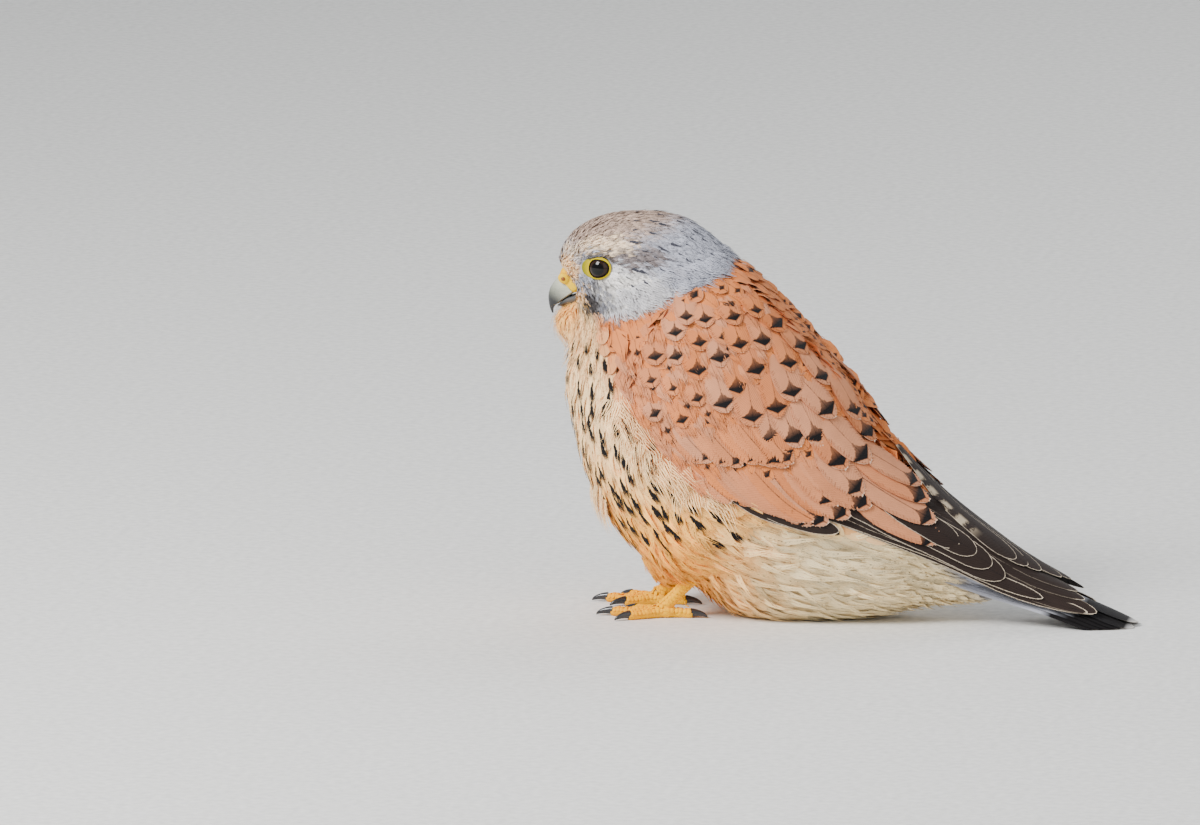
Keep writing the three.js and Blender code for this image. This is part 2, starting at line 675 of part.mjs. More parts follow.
// The folded tail: the middle pair on top and each further pair a layer deeper, further out and shorter
function tail(grow = 0) {
  const surface = (share, aside) => {
    const s = between(TAIL_LINE, share);
    return new THREE.Vector3(s.x, aside, s.z - (aside * aside) / (2 * TAIL_ARCH));
  };
  const feathers = [];
  for (let pair = 0; pair < TAIL_PAIRS; pair++) {
    for (const side of [-1, 1]) {
      const layer = pair === 0 ? (side < 0 ? 0 : 1) : pair + 1;
      const aside = pair === 0 ? (side < 0 ? 2 : 4) : 6.3 + 1.35 * (pair - 1);
      const depth = -TAIL_STEP * layer;
      const reach = 1 - 0.0052 * pair ** 1.9;
      feathers.push(
        vane(
          surface,
          [0.02, side * aside * 0.8],
          [reach, side * aside],
          { half: TAIL_VANE_HALF, sunk: depth, raised: depth, tilt: 0 },
          grow,
        ),
      );
    }
  }
  const rings = TAIL_ROOT_SHARES.map((share, i) => {
    const end = i === 0 ? -grow : i === TAIL_ROOT_SHARES.length - 1 ? grow : 0;
    return Array.from({ length: 14 }, (_, j) => {
      const turn = (2 * Math.PI * j) / 14;
      const p = surface(share, (TAIL_ROOT.half + grow) * Math.cos(turn));
      const thick = (TAIL_ROOT.thick - TAIL_ROOT.taper * share) * Math.sin(turn);
      return p.setX(p.x + end).setZ(p.z - TAIL_ROOT.drop + thick + grow * Math.sign(Math.sin(turn)));
    });
  });
  return joined([loft(rings), ...feathers]).subtract(belowFloor);
}

// The room that the whole stack of tail feathers takes
function tailRoom() {
  const half = TAIL_HALF + GAP;
  const deep = TAIL_STEP * (TAIL_PAIRS + 1) + VANE_THICK / 2 + GAP;
  const rings = [-0.1, 0.2, 0.45, 0.7, 0.9, 1.02].map((share) => {
    const s = between(TAIL_LINE, share);
    return [-1, -0.6, -0.2, 0.2, 0.6, 1].concat([1, 0.6, 0.2, -0.2, -0.6, -1]).map((v, i) => {
      const aside = half * v;
      const height = s.z - (aside * aside) / (2 * TAIL_ARCH) + (i < 6 ? VANE_THICK / 2 + GAP : -deep);
      return new THREE.Vector3(s.x, aside, height);
    });
  });
  return loft(rings);
}

// The feathered thigh down to its hem round the tarsus
function thigh(leg, grow = 0) {
  const stations = leg.thigh.map((s, i) => ({ at: i, ...s }));
  const rings = Array.from({ length: THIGH_STEPS + 1 }, (_, i) => {
    const s = between(stations, ((stations.length - 1) * i) / THIGH_STEPS);
    return ringAt(new THREE.Vector3(s.x, leg.side * s.y, s.z), s.long + grow, s.wide + grow);
  });
  rings.push(ringAt(new THREE.Vector3(...leg.hem).setZ(leg.hem[2] - grow), 5.2 + grow, 5 + grow));
  return loft(rings);
}

// A level ring of points, long along X and wide along Y
function ringAt(middle, long, wide) {
  return Array.from({ length: THIGH_SIDES }, (_, j) => {
    const angle = (2 * Math.PI * j) / THIGH_SIDES;
    return new THREE.Vector3(middle.x + long * Math.cos(angle), middle.y + wide * Math.sin(angle), middle.z);
  });
}

// A round limb along straight stretches, square to each. Each stop is [x, y, z, radius].
function limb(stops, sides, floor = -Infinity) {
  const places = stops.map(([x, y, z]) => new THREE.Vector3(x, y, z));
  const rings = places.map((p, i) => {
    const next = places[Math.min(i + 1, places.length - 1)];
    const ahead = next.clone().sub(places[Math.max(i - 1, 0)]).normalize();
    const aside = new THREE.Vector3(-ahead.y, ahead.x, 0);
    if (aside.length() < 1e-3) {
      aside.set(0, 1, 0);
    }
    aside.normalize();
    const up = ahead.clone().cross(aside);
    return Array.from({ length: sides }, (_, j) => {
      const angle = (2 * Math.PI * (j + 0.5)) / sides;
      const q = p.clone().addScaledVector(aside, stops[i][3] * Math.cos(angle));
      q.addScaledVector(up, stops[i][3] * Math.sin(angle));
      return q.setZ(Math.max(q.z, floor));
    });
  });
  return loft(rings);
}

// The bare shank from the hem of the thigh feathers to the foot
function tarsus(leg) {
  const top = new THREE.Vector3(...leg.hem);
  const ankle = new THREE.Vector3(leg.foot[0], leg.foot[1], ANKLE_HEIGHT);
  const way = ankle.clone().sub(top).normalize();
  top.addScaledVector(way, 0.9);
  const at = (share, radius) => [...top.clone().lerp(ankle, share).toArray(), radius];
  const stops = [
    at(0, TARSUS_END_RADIUS),
    at(0.3, TARSUS_RADIUS),
    at(0.8, TARSUS_RADIUS),
    at(1, TARSUS_END_RADIUS),
  ];
  return limb(stops, TARSUS_SIDES);
}

// A point over a digit's middle line, at a distance from the foot's middle
function digitPlace(leg, digit, distance, height) {
  const heading = Math.PI + leg.side * (THREE.MathUtils.degToRad(-digit.turn) + leg.turn * leg.side);
  const [x, y] = leg.foot;
  return [x + distance * Math.cos(heading), y + distance * Math.sin(heading), height];
}

// The sole with its four padded digits, flat underneath
function foot(leg, grow = 0) {
  const toes = DIGITS.map((digit) => {
    const stops = TOE_PADS.map((u, i) => {
      const radius = TOE_RADIUS * (1 - 0.24 * u) * (i % 2 ? 1.07 : 0.9);
      return [...digitPlace(leg, digit, 1 + (digit.length - 1) * u, radius * 0.78), radius + grow];
    });
    return limb(stops, TOE_SIDES, 0);
  });
  const [x, y] = leg.foot;
  const palm = ball(x + 0.3, y, PALM.z, PALM.long + grow, PALM.wide + grow, PALM.tall + grow);
  return joined([palm, ...toes]).subtract(belowFloor);
}

// A claw that curves down from the end of its digit
function claw(leg, digit) {
  const root = digit.length + GAP;
  const radius = CLAW_LENGTH / CLAW_SWEEP;
  const stops = CLAW_STEPS.map((u) => {
    const reach = radius * Math.sin(CLAW_SWEEP * u);
    const drop = radius * (1 - Math.cos(CLAW_SWEEP * u)) * 0.36;
    return [...digitPlace(leg, digit, root + reach, 2.5 - drop), 1.55 * (1 - u) ** 0.8 + 0.22];
  });
  return limb(stops, TOE_SIDES);
}

// Cuts the whole trunk and head into head, neck, torso and rump by thin slabs square to the lean.
function parted(whole) {
  const slabs = [HOOD_CUT, NECK_CUT, RUMP_CUT].map((along) => {
    const cut = new THREE.BoxGeometry(GAP, 200, 260);
    cut.rotateY(TRUNK_LEAN);
    const middle = onTrunk(along, 20, 0);
    cut.translate(middle.x, middle.y, middle.z);
    return solidOf(cut);
  });
  const pieces = slabs.reduce((left, cut) => left.subtract(cut), whole).decompose();
  const along = (piece) => {
    const { min, max } = piece.boundingBox();
    const [x, z] = [(min[0] + max[0]) / 2, (min[2] + max[2]) / 2];
    return x * Math.cos(TRUNK_LEAN) - z * Math.sin(TRUNK_LEAN);
  };
  return pieces
    .filter((p) => p.volume() > 500)
    .sort((a, b) => along(a) - along(b));
}

const kestrel = new THREE.Group();
kestrel.name = "kestrel";

const floor = new THREE.BoxGeometry(...FLOOR_SIZE);
floor.translate(0, 0, -FLOOR_SIZE[2] / 2);
const belowFloor = solidOf(floor);
const upperBillClear = billPiece(UPPER_BILL, 1, UPPER_BILL_STEPS, GAP);
const lowerBillClear = billPiece(LOWER_BILL, -1, LOWER_BILL_STEPS, GAP);
const billUpper = billPiece(UPPER_BILL, 1, UPPER_BILL_STEPS);
const billLower = billPiece(LOWER_BILL, -1, LOWER_BILL_STEPS).subtract(upperBillClear);
const cerePiece = billPiece(CERE, 1, CERE_STEPS).subtract(
  joined([nostril(-1), nostril(1), upperBillClear, lowerBillClear]),
);
const tailClear = tailRoom();
const takenRoom = joined([
  upperBillClear,
  lowerBillClear,
  billPiece(CERE, 1, CERE_STEPS, GAP),
  eyeSocket(-1),
  eyeSocket(1),
  tailClear,
  foot(LEGS.left, GAP),
  foot(LEGS.right, GAP),
  belowFloor,
]);
const flesh = joined([trunk(), skull(), ...faceForms()]).subtract(takenRoom);
const [head, neck, torso, rump] = parted(flesh);

kestrel.add(meshOf("head", head, "hood"));
kestrel.add(meshOf("neck", neck, "rufous"));
kestrel.add(meshOf("torso", torso, "buff"));
kestrel.add(meshOf("rump", rump, "grey"));
kestrel.add(meshOf("tail", tail(), "grey"));
kestrel.add(meshOf("bill_upper", billUpper, "horn"));
kestrel.add(meshOf("bill_lower", billLower, "horn"));
kestrel.add(meshOf("cere", cerePiece, "cere"));

const trunkClear = trunk(GAP);
for (const [name, side] of [["left", -1], ["right", 1]]) {
  const leg = LEGS[name];
  const middle = new THREE.BoxGeometry(400, GAP, 400);
  const apart = joined([trunkClear, tailClear, solidOf(middle)]);
  const underHem = joined([trunkClear, thigh(leg, GAP), foot(leg, GAP)]);
  kestrel.add(meshOf(`eye_${name}`, eyeball(side), "iris"));
  kestrel.add(meshOf(`orbital_ring_${name}`, orbitalRing(side), "cere"));
  kestrel.add(meshOf(`wing_${name}`, wing(side).subtract(apart), "rufous"));
  kestrel.add(meshOf(`thigh_${name}`, thigh(leg).subtract(joined([trunkClear, wing(side, GAP)])), "buff"));
  kestrel.add(meshOf(`foot_${name}`, foot(leg), "skin"));
  kestrel.add(meshOf(`tarsus_${name}`, tarsus(leg).subtract(underHem), "skin"));
  for (const digit of DIGITS) {
    kestrel.add(meshOf(`claw_${digit.name}_${name}`, claw(leg, digit), "claw"));
  }
}

export default kestrel;
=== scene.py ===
"""A common kestrel, male, life size, sitting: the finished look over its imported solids."""

import itertools
import logging
import math
from dataclasses import dataclass, field, replace
from enum import Enum
from typing import Iterable, Sequence

import bpy
import numpy as np
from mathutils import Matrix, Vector
from mathutils.bvhtree import BVHTree


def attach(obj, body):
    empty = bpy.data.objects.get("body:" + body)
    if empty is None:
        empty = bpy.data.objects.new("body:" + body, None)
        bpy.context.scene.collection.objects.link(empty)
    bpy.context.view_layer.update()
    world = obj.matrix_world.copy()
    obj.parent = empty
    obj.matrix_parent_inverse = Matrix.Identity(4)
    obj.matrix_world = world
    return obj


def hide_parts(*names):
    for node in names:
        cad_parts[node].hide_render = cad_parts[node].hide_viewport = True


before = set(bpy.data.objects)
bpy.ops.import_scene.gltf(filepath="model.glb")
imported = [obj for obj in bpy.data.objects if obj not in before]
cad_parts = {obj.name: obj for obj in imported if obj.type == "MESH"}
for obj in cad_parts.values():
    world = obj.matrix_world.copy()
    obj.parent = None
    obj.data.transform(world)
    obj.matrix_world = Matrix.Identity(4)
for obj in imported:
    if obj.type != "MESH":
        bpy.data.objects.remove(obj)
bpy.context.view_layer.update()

logging.basicConfig(level=logging.INFO, format="%(levelname)s %(message)s")
log = logging.getLogger("kestrel")

Triple = tuple[float, float, float]
Rows = tuple[tuple[float, ...], ...]

MM = 0.001
SIDES = {"left": -1, "right": 1}
LEAN = math.radians(49)
FULLNESS = 0.9
SHARP_ANGLE = math.radians(55)
FLOOR_GAP = 0.2
FULL_TURN = 2 * math.pi


class Body(str, Enum):
    """The one body of a model that doesn't move."""

    ROOT = "root"


def linear(code: str) -> Triple:
    """Turns an sRGB hex colour into linear values."""
    parts = [int(code[i : i + 2], 16) / 255 for i in (1, 3, 5)]
    return tuple(p / 12.92 if p <= 0.04045 else ((p + 0.055) / 1.055) ** 2.4 for p in parts)


def rgba(code: str) -> tuple[float, ...]:
    """A linear colour for a node's socket."""
    return (*linear(code), 1)


def ease(low: float, high: float, value: np.ndarray) -> np.ndarray:
    """Goes smoothly from 0 at low to 1 at high."""
    share = np.clip((np.asarray(value, float) - low) / (high - low), 0, 1)
    return share * share * (3 - 2 * share)


def rise(least: float, low: float, high: float, value: np.ndarray) -> np.ndarray:
    """Goes smoothly from the least size at low to 1 at high."""
    return least + (1 - least) * ease(low, high, value)


def unit(vectors: np.ndarray) -> np.ndarray:
    """Vectors of length one."""
    return vectors / np.maximum(np.linalg.norm(vectors, axis=-1, keepdims=True), 1e-9)


def between(stations: Sequence[Sequence[float]], at: np.ndarray) -> np.ndarray:
    """Smooth values between stations.

    Args:
        stations: rows of a place and its values, in order of place.
        at: the places asked for.
    Returns:
        One row of values for each place.
    """
    table = np.asarray(stations, float)
    x, y = table[:, 0], table[:, 1:]
    slope = np.empty_like(y)
    slope[1:-1] = (y[2:] - y[:-2]) / (x[2:] - x[:-2])[:, None]
    slope[0] = (y[1] - y[0]) / (x[1] - x[0])
    slope[-1] = (y[-1] - y[-2]) / (x[-1] - x[-2])
    at = np.asarray(at, float)
    i = np.clip(np.searchsorted(x, at) - 1, 0, len(x) - 2)
    span = (x[i + 1] - x[i])[..., None]
    t = np.clip((at - x[i])[..., None] / span, 0, 1)
    a = (2 * t**3 - 3 * t**2 + 1) * y[i] + (t**3 - 2 * t**2 + t) * span * slope[i]
    return a + (3 * t**2 - 2 * t**3) * y[i + 1] + (t**3 - t**2) * span * slope[i + 1]


def full(share: np.ndarray) -> np.ndarray:
    """Makes a section a little fuller than an ellipse."""
    return np.sign(share) * np.abs(share) ** FULLNESS


def on_trunk(along: np.ndarray, across: np.ndarray, aside: np.ndarray) -> np.ndarray:
    """A place given along the leaning trunk, across it to the back, and aside."""
    c, s = math.cos(LEAN), math.sin(LEAN)
    return np.stack([c * along + s * across, aside + 0 * along, c * across - s * along], -1)


def one_side(points: np.ndarray) -> np.ndarray:
    """Points with those of the left half mirrored to the right."""
    return points * (1, 0, 1) + np.abs(points) * (0, 1, 0)


def to_trunk(points: np.ndarray) -> tuple[np.ndarray, np.ndarray]:
    """How far points lie along the leaning trunk and across it.

    Args:
        points: places in mm.
    Returns:
        The lengths along and across.
    """
    c, s = math.cos(LEAN), math.sin(LEAN)
    x, z = points[..., 0], points[..., 2]
    return c * x - s * z, s * x + c * z


@dataclass(frozen=True)
class Form:
    """A rounded form along the trunk. Each station is place, mid, front, back and half width, in mm."""

    stations: Rows

    ROUND_TO = 0.985
    PAST = 2.2

    def point(self, along: np.ndarray, angle: np.ndarray, side: float, grow: float = 0) -> np.ndarray:
        """A place on the form.

        Args:
            along: place along the trunk in mm.
            angle: angle round it; 90 degrees is the back's middle line.
            side: 1 for the right half, -1 for the left one.
            grow: how far outside the form the place is.
        Returns:
            The place.
        """
        s = between(self.stations, along)
        sine = np.sin(angle)
        reach = np.where(sine > 0, s[..., 2], s[..., 1]) + grow
        wide = side * (s[..., 3] + grow) * full(np.cos(angle))
        return on_trunk(np.asarray(along, float), s[..., 0] + reach * full(sine), wide)

    def angle(self, along: np.ndarray, across: np.ndarray) -> np.ndarray:
        """The angle of a place that is given across the trunk.

        Args:
            along: place along the trunk in mm.
            across: place across it in mm; past the form's top the angle goes on evenly.
        Returns:
            The angle that point() takes.
        """
        s = between(self.stations, along)
        share = (across - s[..., 0]) / np.where(across > s[..., 0], s[..., 2], s[..., 1])
        past = np.maximum(np.abs(share) - self.ROUND_TO, 0) * self.PAST
        return np.sign(share) * (
            np.arcsin(np.minimum(np.abs(share), self.ROUND_TO) ** (1 / FULLNESS)) + past
        )


# The body without its wings, the folded wings over it, the wings' lower edge along and across the trunk,
# and the head by its x, top, bottom and half width, and by how far it slants back under the bill.
TRUNK = Form((
    (-203, 45, 14, 8, 9), (-196, 42, 32, 18, 17), (-186, 36, 43, 30, 22), (-175, 31, 47, 39.5, 25.5),
    (-162, 26, 56, 46, 31), (-148, 21, 58, 51.5, 37), (-128, 15, 62, 57.5, 43), (-105, 12, 65, 61, 46),
    (-80, 12, 65, 60, 46), (-55, 16, 60, 52, 43), (-30, 25, 61, 41, 37), (-5, 38, 45, 28, 29),
    (15, 50, 25, 17, 19), (32, 60, 11, 10, 12), (42, 66, 5, 6, 7),
))
WINGS = Form((
    (-162, 22, 52, 51, 36), (-148, 18, 56, 57, 42), (-128, 14, 60, 61.5, 47.5), (-105, 12, 60, 64, 50),
    (-80, 14, 60, 62, 50), (-55, 20, 55, 53.5, 47), (-30, 33, 45, 41, 41), (-5, 50, 28, 27, 34),
    (20, 61, 20, 22, 26), (38, 69, 14, 18.5, 21.5), (54, 79, 12, 15, 18.5), (74, 94, 8, 8.5, 15),
))
WING_LOW = (
    (-162, 4), (-148, -3), (-128, -3), (-105, -2), (-80, 3), (-55, 15), (-30, 32), (-5, 46), (20, 58),
    (44, 72),
)
HEAD = (
    (-133, 165.5, 158.5, 3.5, 0.95), (-131.4, 170, 151, 7.2, 0.95), (-128, 175.6, 142, 10.8, 0.62),
    (-123, 180, 132, 14.6, 0.3), (-116, 183.7, 126, 18, 0.1), (-107, 186.2, 122, 20.6, 0),
    (-96, 187, 121, 22.4, 0),
    (-84, 186.2, 124, 23, 0), (-72, 182.5, 130, 21.5, 0), (-62, 172, 140, 17.5, 0), (-55, 160, 148, 8, 0),
)
EYE = (-109.9, 14.6, 162.2)
EYE_RADIUS = 6.2
EYE_TURN = math.radians(14)


@dataclass
class Shape:
    """Closed surfaces as points in mm and faces."""

    points: np.ndarray
    faces: np.ndarray

    @staticmethod
    def joined(shapes: Iterable["Shape"]) -> "Shape":
        """Several shapes as one.

        Args:
            shapes: the shapes, in order.
        Returns:
            The shape with all their points and faces.
        """
        points, faces, start = [], [], 0
        for shape in shapes:
            points.append(shape.points)
            faces.append(shape.faces + start)
            start += len(shape.points)
        return Shape(np.concatenate(points), np.concatenate(faces))

    @staticmethod
    def turned_out(points: np.ndarray, faces: np.ndarray) -> "Shape":
        """A closed shape with its faces turned out."""
        made = Shape(points, faces)
        return made if made.volume() > 0 else Shape(points, faces[:, ::-1])

    @staticmethod
    def loft(rings: np.ndarray) -> "Shape":
        """Closed surface through rings of points.

        Args:
            rings: array of rings, points and coordinates.
        Returns:
            The surface in triangles, with its faces turned out.
        """
        rings = np.asarray(rings, float)
        rows, count = rings.shape[:2]
        points = np.concatenate([rings.reshape(-1, 3), rings[[0, -1]].mean(1)])
        a = (np.arange(rows - 1)[:, None] * count + np.arange(count)).ravel()
        b = (np.arange(rows - 1)[:, None] * count + (np.arange(count) + 1) % count).ravel()
        faces = [np.stack([a, b, b + count], 1), np.stack([a, b + count, a + count], 1)]
        j = np.arange(count)
        k = (j + 1) % count
        last = (rows - 1) * count
        faces.append(np.stack([k, j, np.full(count, rows * count)], 1))
        faces.append(np.stack([last + j, last + k, np.full(count, rows * count + 1)], 1))
        return Shape.turned_out(points, np.concatenate(faces))

    @staticmethod
    def ball(centre: Sequence[float], reach: Sequence[float], turn: float = 0, rings: int = 24) -> "Shape":
        """A ball stretched along each axis and turned about Y.

        Args:
            centre: its middle in mm.
            reach: its half sizes in mm.
            turn: its turn in radians.
            rings: rings from pole to pole; each has twice as many points.
        Returns:
            The ball.
        """
        pole = math.pi / 2 - 0.02
        lat = np.linspace(-pole, pole, rings)
        lon = np.linspace(0, FULL_TURN, 2 * rings, endpoint=False)
        x = np.cos(lat)[:, None] * np.cos(lon) * reach[0]
        y = np.cos(lat)[:, None] * np.sin(lon) * reach[1]
        z = np.sin(lat)[:, None] * np.ones(2 * rings) * reach[2]
        c, s = math.cos(turn), math.sin(turn)
        return Shape.loft(np.stack([c * x + s * z, y, c * z - s * x], -1) + np.asarray(centre, float))

    @staticmethod
    def tube(stops: Sequence[Sequence[float]], rings: int, sides: int, flat: float = 1) -> "Shape":
        """A round limb along a smooth path.

        Args:
            stops: rows of x, y, z and radius.
            rings: number of rings along the path.
            sides: number of points round each ring.
            flat: height of a ring against its width.
        Returns:
            The closed limb.
        """
        table = np.column_stack([np.linspace(0, 1, len(stops)), np.asarray(stops, float)])
        path = between(table, np.linspace(0, 1, rings))
        ahead = unit(np.gradient(path[:, :3], axis=0))
        aside = unit(np.stack([-ahead[:, 1], ahead[:, 0], 0 * ahead[:, 0] + 1e-6], -1))
        up = np.cross(ahead, aside)
        turn = np.linspace(0, FULL_TURN, sides, endpoint=False)
        out = aside[:, None] * np.cos(turn)[:, None] + flat * up[:, None] * np.sin(turn)[:, None]
        return Shape.loft(path[:, None, :3] + out * path[:, None, 3:])

    def volume(self) -> float:
        """Six times the volume inside, positive where the faces point out."""
        a, b, c = (self.points[self.faces[:, i]] for i in range(3))
        return float(np.einsum("ij,ij->", a, np.cross(b, c)))

    def tree(self) -> BVHTree:
        """A search tree of the surface, in mm."""
        return BVHTree.FromPolygons(self.points.tolist(), self.faces.tolist())


def make_object(name: str, shape: Shape, smooth: bool = True) -> bpy.types.Object:
    """A mesh object with its place in its mesh.

    Args:
        name: the piece's name.
        shape: its surface in mm.
        smooth: whether its faces are shaded smooth.
    Returns:
        The linked object.
    """
    mesh = bpy.data.meshes.new(name)
    count, corners = shape.faces.shape
    mesh.vertices.add(len(shape.points))
    mesh.vertices.foreach_set("co", (shape.points * MM).astype(np.float32).ravel())
    mesh.loops.add(count * corners)
    mesh.loops.foreach_set("vertex_index", shape.faces.astype(np.int32).ravel())
    mesh.polygons.add(count)
    mesh.polygons.foreach_set("loop_start", np.arange(0, count * corners, corners, dtype=np.int32))
    mesh.polygons.foreach_set("use_smooth", np.full(count, smooth))
    mesh.update(calc_edges=True)
    mesh.set_sharp_from_angle(angle=SHARP_ANGLE)
    made = bpy.data.objects.new(name, mesh)
    bpy.context.scene.collection.objects.link(made)
    return made


def shape_of(piece: bpy.types.Object) -> Shape:
    """The evaluated surface of an object.

    Args:
        piece: the object, with its modifiers.
    Returns:
        Its surface in triangles, in mm.
    """
    mesh = bpy.data.meshes.new_from_object(piece.evaluated_get(bpy.context.evaluated_depsgraph_get()))
    mesh.calc_loop_triangles()
    points = np.empty(len(mesh.vertices) * 3, np.float32)
    mesh.vertices.foreach_get("co", points)
    faces = np.empty(len(mesh.loop_triangles) * 3, np.int32)
    mesh.loop_triangles.foreach_get("vertices", faces)
    bpy.data.meshes.remove(mesh)
    return Shape(points.reshape(-1, 3).astype(float) / MM, faces.reshape(-1, 3))


def fused(shapes: Iterable[Shape], voxel: float, rounds: int) -> Shape:
    """Melts closed shapes into one even skin.

    Args:
        shapes: the shapes to join.
        voxel: size of the new faces in mm.
        rounds: how often the skin is smoothed.
    Returns:
        The one skin.
    """
    piece = make_object("fused", Shape.joined(shapes))
    remesh = piece.modifiers.new("remesh", "REMESH")
    remesh.mode = "VOXEL"
    remesh.voxel_size = voxel * MM
    smoother = piece.modifiers.new("smooth", "SMOOTH")
    smoother.iterations = rounds
    made = shape_of(piece)
    bpy.data.objects.remove(piece)
    return made


def set_values(piece: bpy.types.Object, name: str, values: np.ndarray) -> None:
    """Stores three values on each point of a mesh."""
    layer = piece.data.attributes.new(name, "FLOAT_VECTOR", "POINT")
    layer.data.foreach_set("vector", values.astype(np.float32).ravel())


def set_bake_map(piece: bpy.types.Object, places: np.ndarray) -> None:
    """Lays out the export's map.

    Args:
        piece: the piece that gets the map.
        places: a place on the map for each of its points.
    """
    mesh = piece.data
    corners = np.empty(len(mesh.loops), np.int32)
    mesh.loops.foreach_get("vertex_index", corners)
    layer = mesh.uv_layers.new(name="OFBake")
    layer.data.foreach_set("uv", places[corners].astype(np.float32).ravel())


def add_nodes(tree: bpy.types.NodeTree, plan: Sequence[tuple]) -> dict[str, bpy.types.Node]:
    """Adds the nodes of a plan with their settings and links.

    Args:
        tree: the tree that gets them.
        plan: rows of name, kind, settings and inputs. An input that is text names an earlier row, and its
            output after a colon; inputs are keyed by name or number.
    Returns:
        The nodes by name.
    """
    made: dict[str, bpy.types.Node] = {}
    for name, kind, settings, inputs in plan:
        node = made[name] = tree.nodes.new(kind)
        for key, value in settings.items():
            setattr(node, key, value)
        for key, value in inputs.items():
            if isinstance(value, str) and value.partition(":")[0] in made:
                source, _, output = value.partition(":")
                output = int(output) if output.isdigit() else output or 0
                tree.links.new(made[source].outputs[output], node.inputs[key])
            else:
                node.inputs[key].default_value = value
    return made


def reckon(name: str, kind: str, *values: float | str) -> tuple:
    """A row of a plan for a node that works on numbers.

    Args:
        name: the node's name.
        kind: a sum such as ADD, or LINEAR or SMOOTHSTEP for a ramp from one range to another.
        values: its inputs in order.
    Returns:
        The row.
    """
    if kind in ("LINEAR", "SMOOTHSTEP"):
        return name, "ShaderNodeMapRange", {"interpolation_type": kind}, dict(enumerate(values))
    return name, "ShaderNodeMath", {"operation": kind}, dict(enumerate(values))


@dataclass
class Studs:
    """Small rounded plates or bristles in rows over a surface, made by one node tree."""

    name: str = "studs_in_rows"
    corners: int = 10
    rings: int = 6

    def tree(self) -> bpy.types.NodeTree:
        """The node tree. It resamples each row and sets a turned and scaled stud on every point.

        Returns:
            The tree, with the inputs Rows, Spacing, Size, Turn, Vary, Seed and Finish.
        """
        tree = bpy.data.node_groups.get(self.name)
        if tree:
            return tree
        tree = bpy.data.node_groups.new(self.name, "GeometryNodeTree")
        for label, kind in (
            ("Rows", "Geometry"), ("Spacing", "Float"), ("Size", "Vector"), ("Turn", "Float"),
            ("Vary", "Float"),
            ("Seed", "Int"), ("Finish", "Material"),
        ):
            tree.interface.new_socket(label, in_out="INPUT", socket_type=f"NodeSocket{kind}")
        tree.interface.new_socket("Studs", in_out="OUTPUT", socket_type="NodeSocketGeometry")
        align = "FunctionNodeAlignRotationToVector"
        add_nodes(tree, (
            ("inputs", "NodeGroupInput", {}, {}),
            ("curve", "GeometryNodeMeshToCurve", {}, {"Mesh": "inputs:Rows"}),
            (
                "points", "GeometryNodeResampleCurve", {"mode": "LENGTH"},
                {"Curve": "curve", "Length": "inputs:Spacing"},
            ),
            ("out", "GeometryNodeInputNamedAttribute", {"data_type": "FLOAT_VECTOR"}, {"Name": "stud_out"}),
            ("ahead", "GeometryNodeInputTangent", {}, {}),
            ("upright", align, {"axis": "Z"}, {"Vector": "out:Attribute"}),
            ("facing", align, {"axis": "Y", "pivot_axis": "Z"}, {"Rotation": "upright", "Vector": "ahead"}),
            ("swing", "ShaderNodeCombineXYZ", {}, {"Z": "inputs:Turn"}),
            (
                "turned", "FunctionNodeRotateRotation", {"rotation_space": "LOCAL"},
                {0: "facing", 1: "swing"},
            ),
            reckon("least", "SUBTRACT", 1.0, "inputs:Vary"),
            reckon("most", "ADD", 1.0, "inputs:Vary"),
            (
                "luck", "FunctionNodeRandomValue", {"data_type": "FLOAT"},
                {2: "least", 3: "most", "Seed": "inputs:Seed"},
            ),
            (
                "scale", "ShaderNodeVectorMath", {"operation": "SCALE"},
                {0: "inputs:Size", "Scale": "luck:1"},
            ),
            (
                "stud", "GeometryNodeMeshUVSphere", {},
                {"Segments": self.corners, "Rings": self.rings, "Radius": 1.0},
            ),
            (
                "placed", "GeometryNodeInstanceOnPoints", {},
                {"Points": "points", "Instance": "stud", "Rotation": "turned", "Scale": "scale"},
            ),
            ("real", "GeometryNodeRealizeInstances", {}, {"Geometry": "placed"}),
            ("finished", "GeometryNodeSetMaterial", {}, {"Geometry": "real", "Material": "inputs:Finish"}),
            ("result", "NodeGroupOutput", {}, {0: "finished"}),
        ))
        return tree

    def build(
        self, name: str, rows: Sequence[tuple[np.ndarray, np.ndarray]], settings: dict[str, object]
    ) -> bpy.types.Object:
        """Makes one piece of studs.

        Args:
            name: the piece's name.
            rows: the points of each row in mm and the directions out of the surface there.
            settings: a value for each of the tree's named inputs.
        Returns:
            The piece as a plain mesh.
        """
        points = np.concatenate([r[0] for r in rows]) * MM
        starts = np.cumsum([0] + [len(r[0]) for r in rows])
        edges = [(i, i + 1) for a, b in zip(starts, starts[1:]) for i in range(a, b - 1)]
        mesh = bpy.data.meshes.new(name)
        mesh.from_pydata(points.tolist(), edges, [])
        mesh.attributes.new("stud_out", "FLOAT_VECTOR", "POINT").data.foreach_set(
            "vector", np.concatenate([r[1] for r in rows]).astype(np.float32).ravel()
        )
        piece = bpy.data.objects.new(name, mesh)
        bpy.context.scene.collection.objects.link(piece)
        modifier = piece.modifiers.new("studs", "NODES")
        modifier.node_group = self.tree()
        for item in modifier.node_group.interface.items_tree:
            if item.in_out == "INPUT" and item.name in settings:
                modifier[item.identifier] = settings[item.name]
        seen = piece.evaluated_get(bpy.context.evaluated_depsgraph_get())
        made = bpy.data.meshes.new_from_object(seen)
        piece.modifiers.remove(modifier)
        piece.data = made
        made.name = name
        made.polygons.foreach_set("use_smooth", np.ones(len(made.polygons), bool))
        log.info("%s: %d faces", name, len(made.polygons))
        return piece


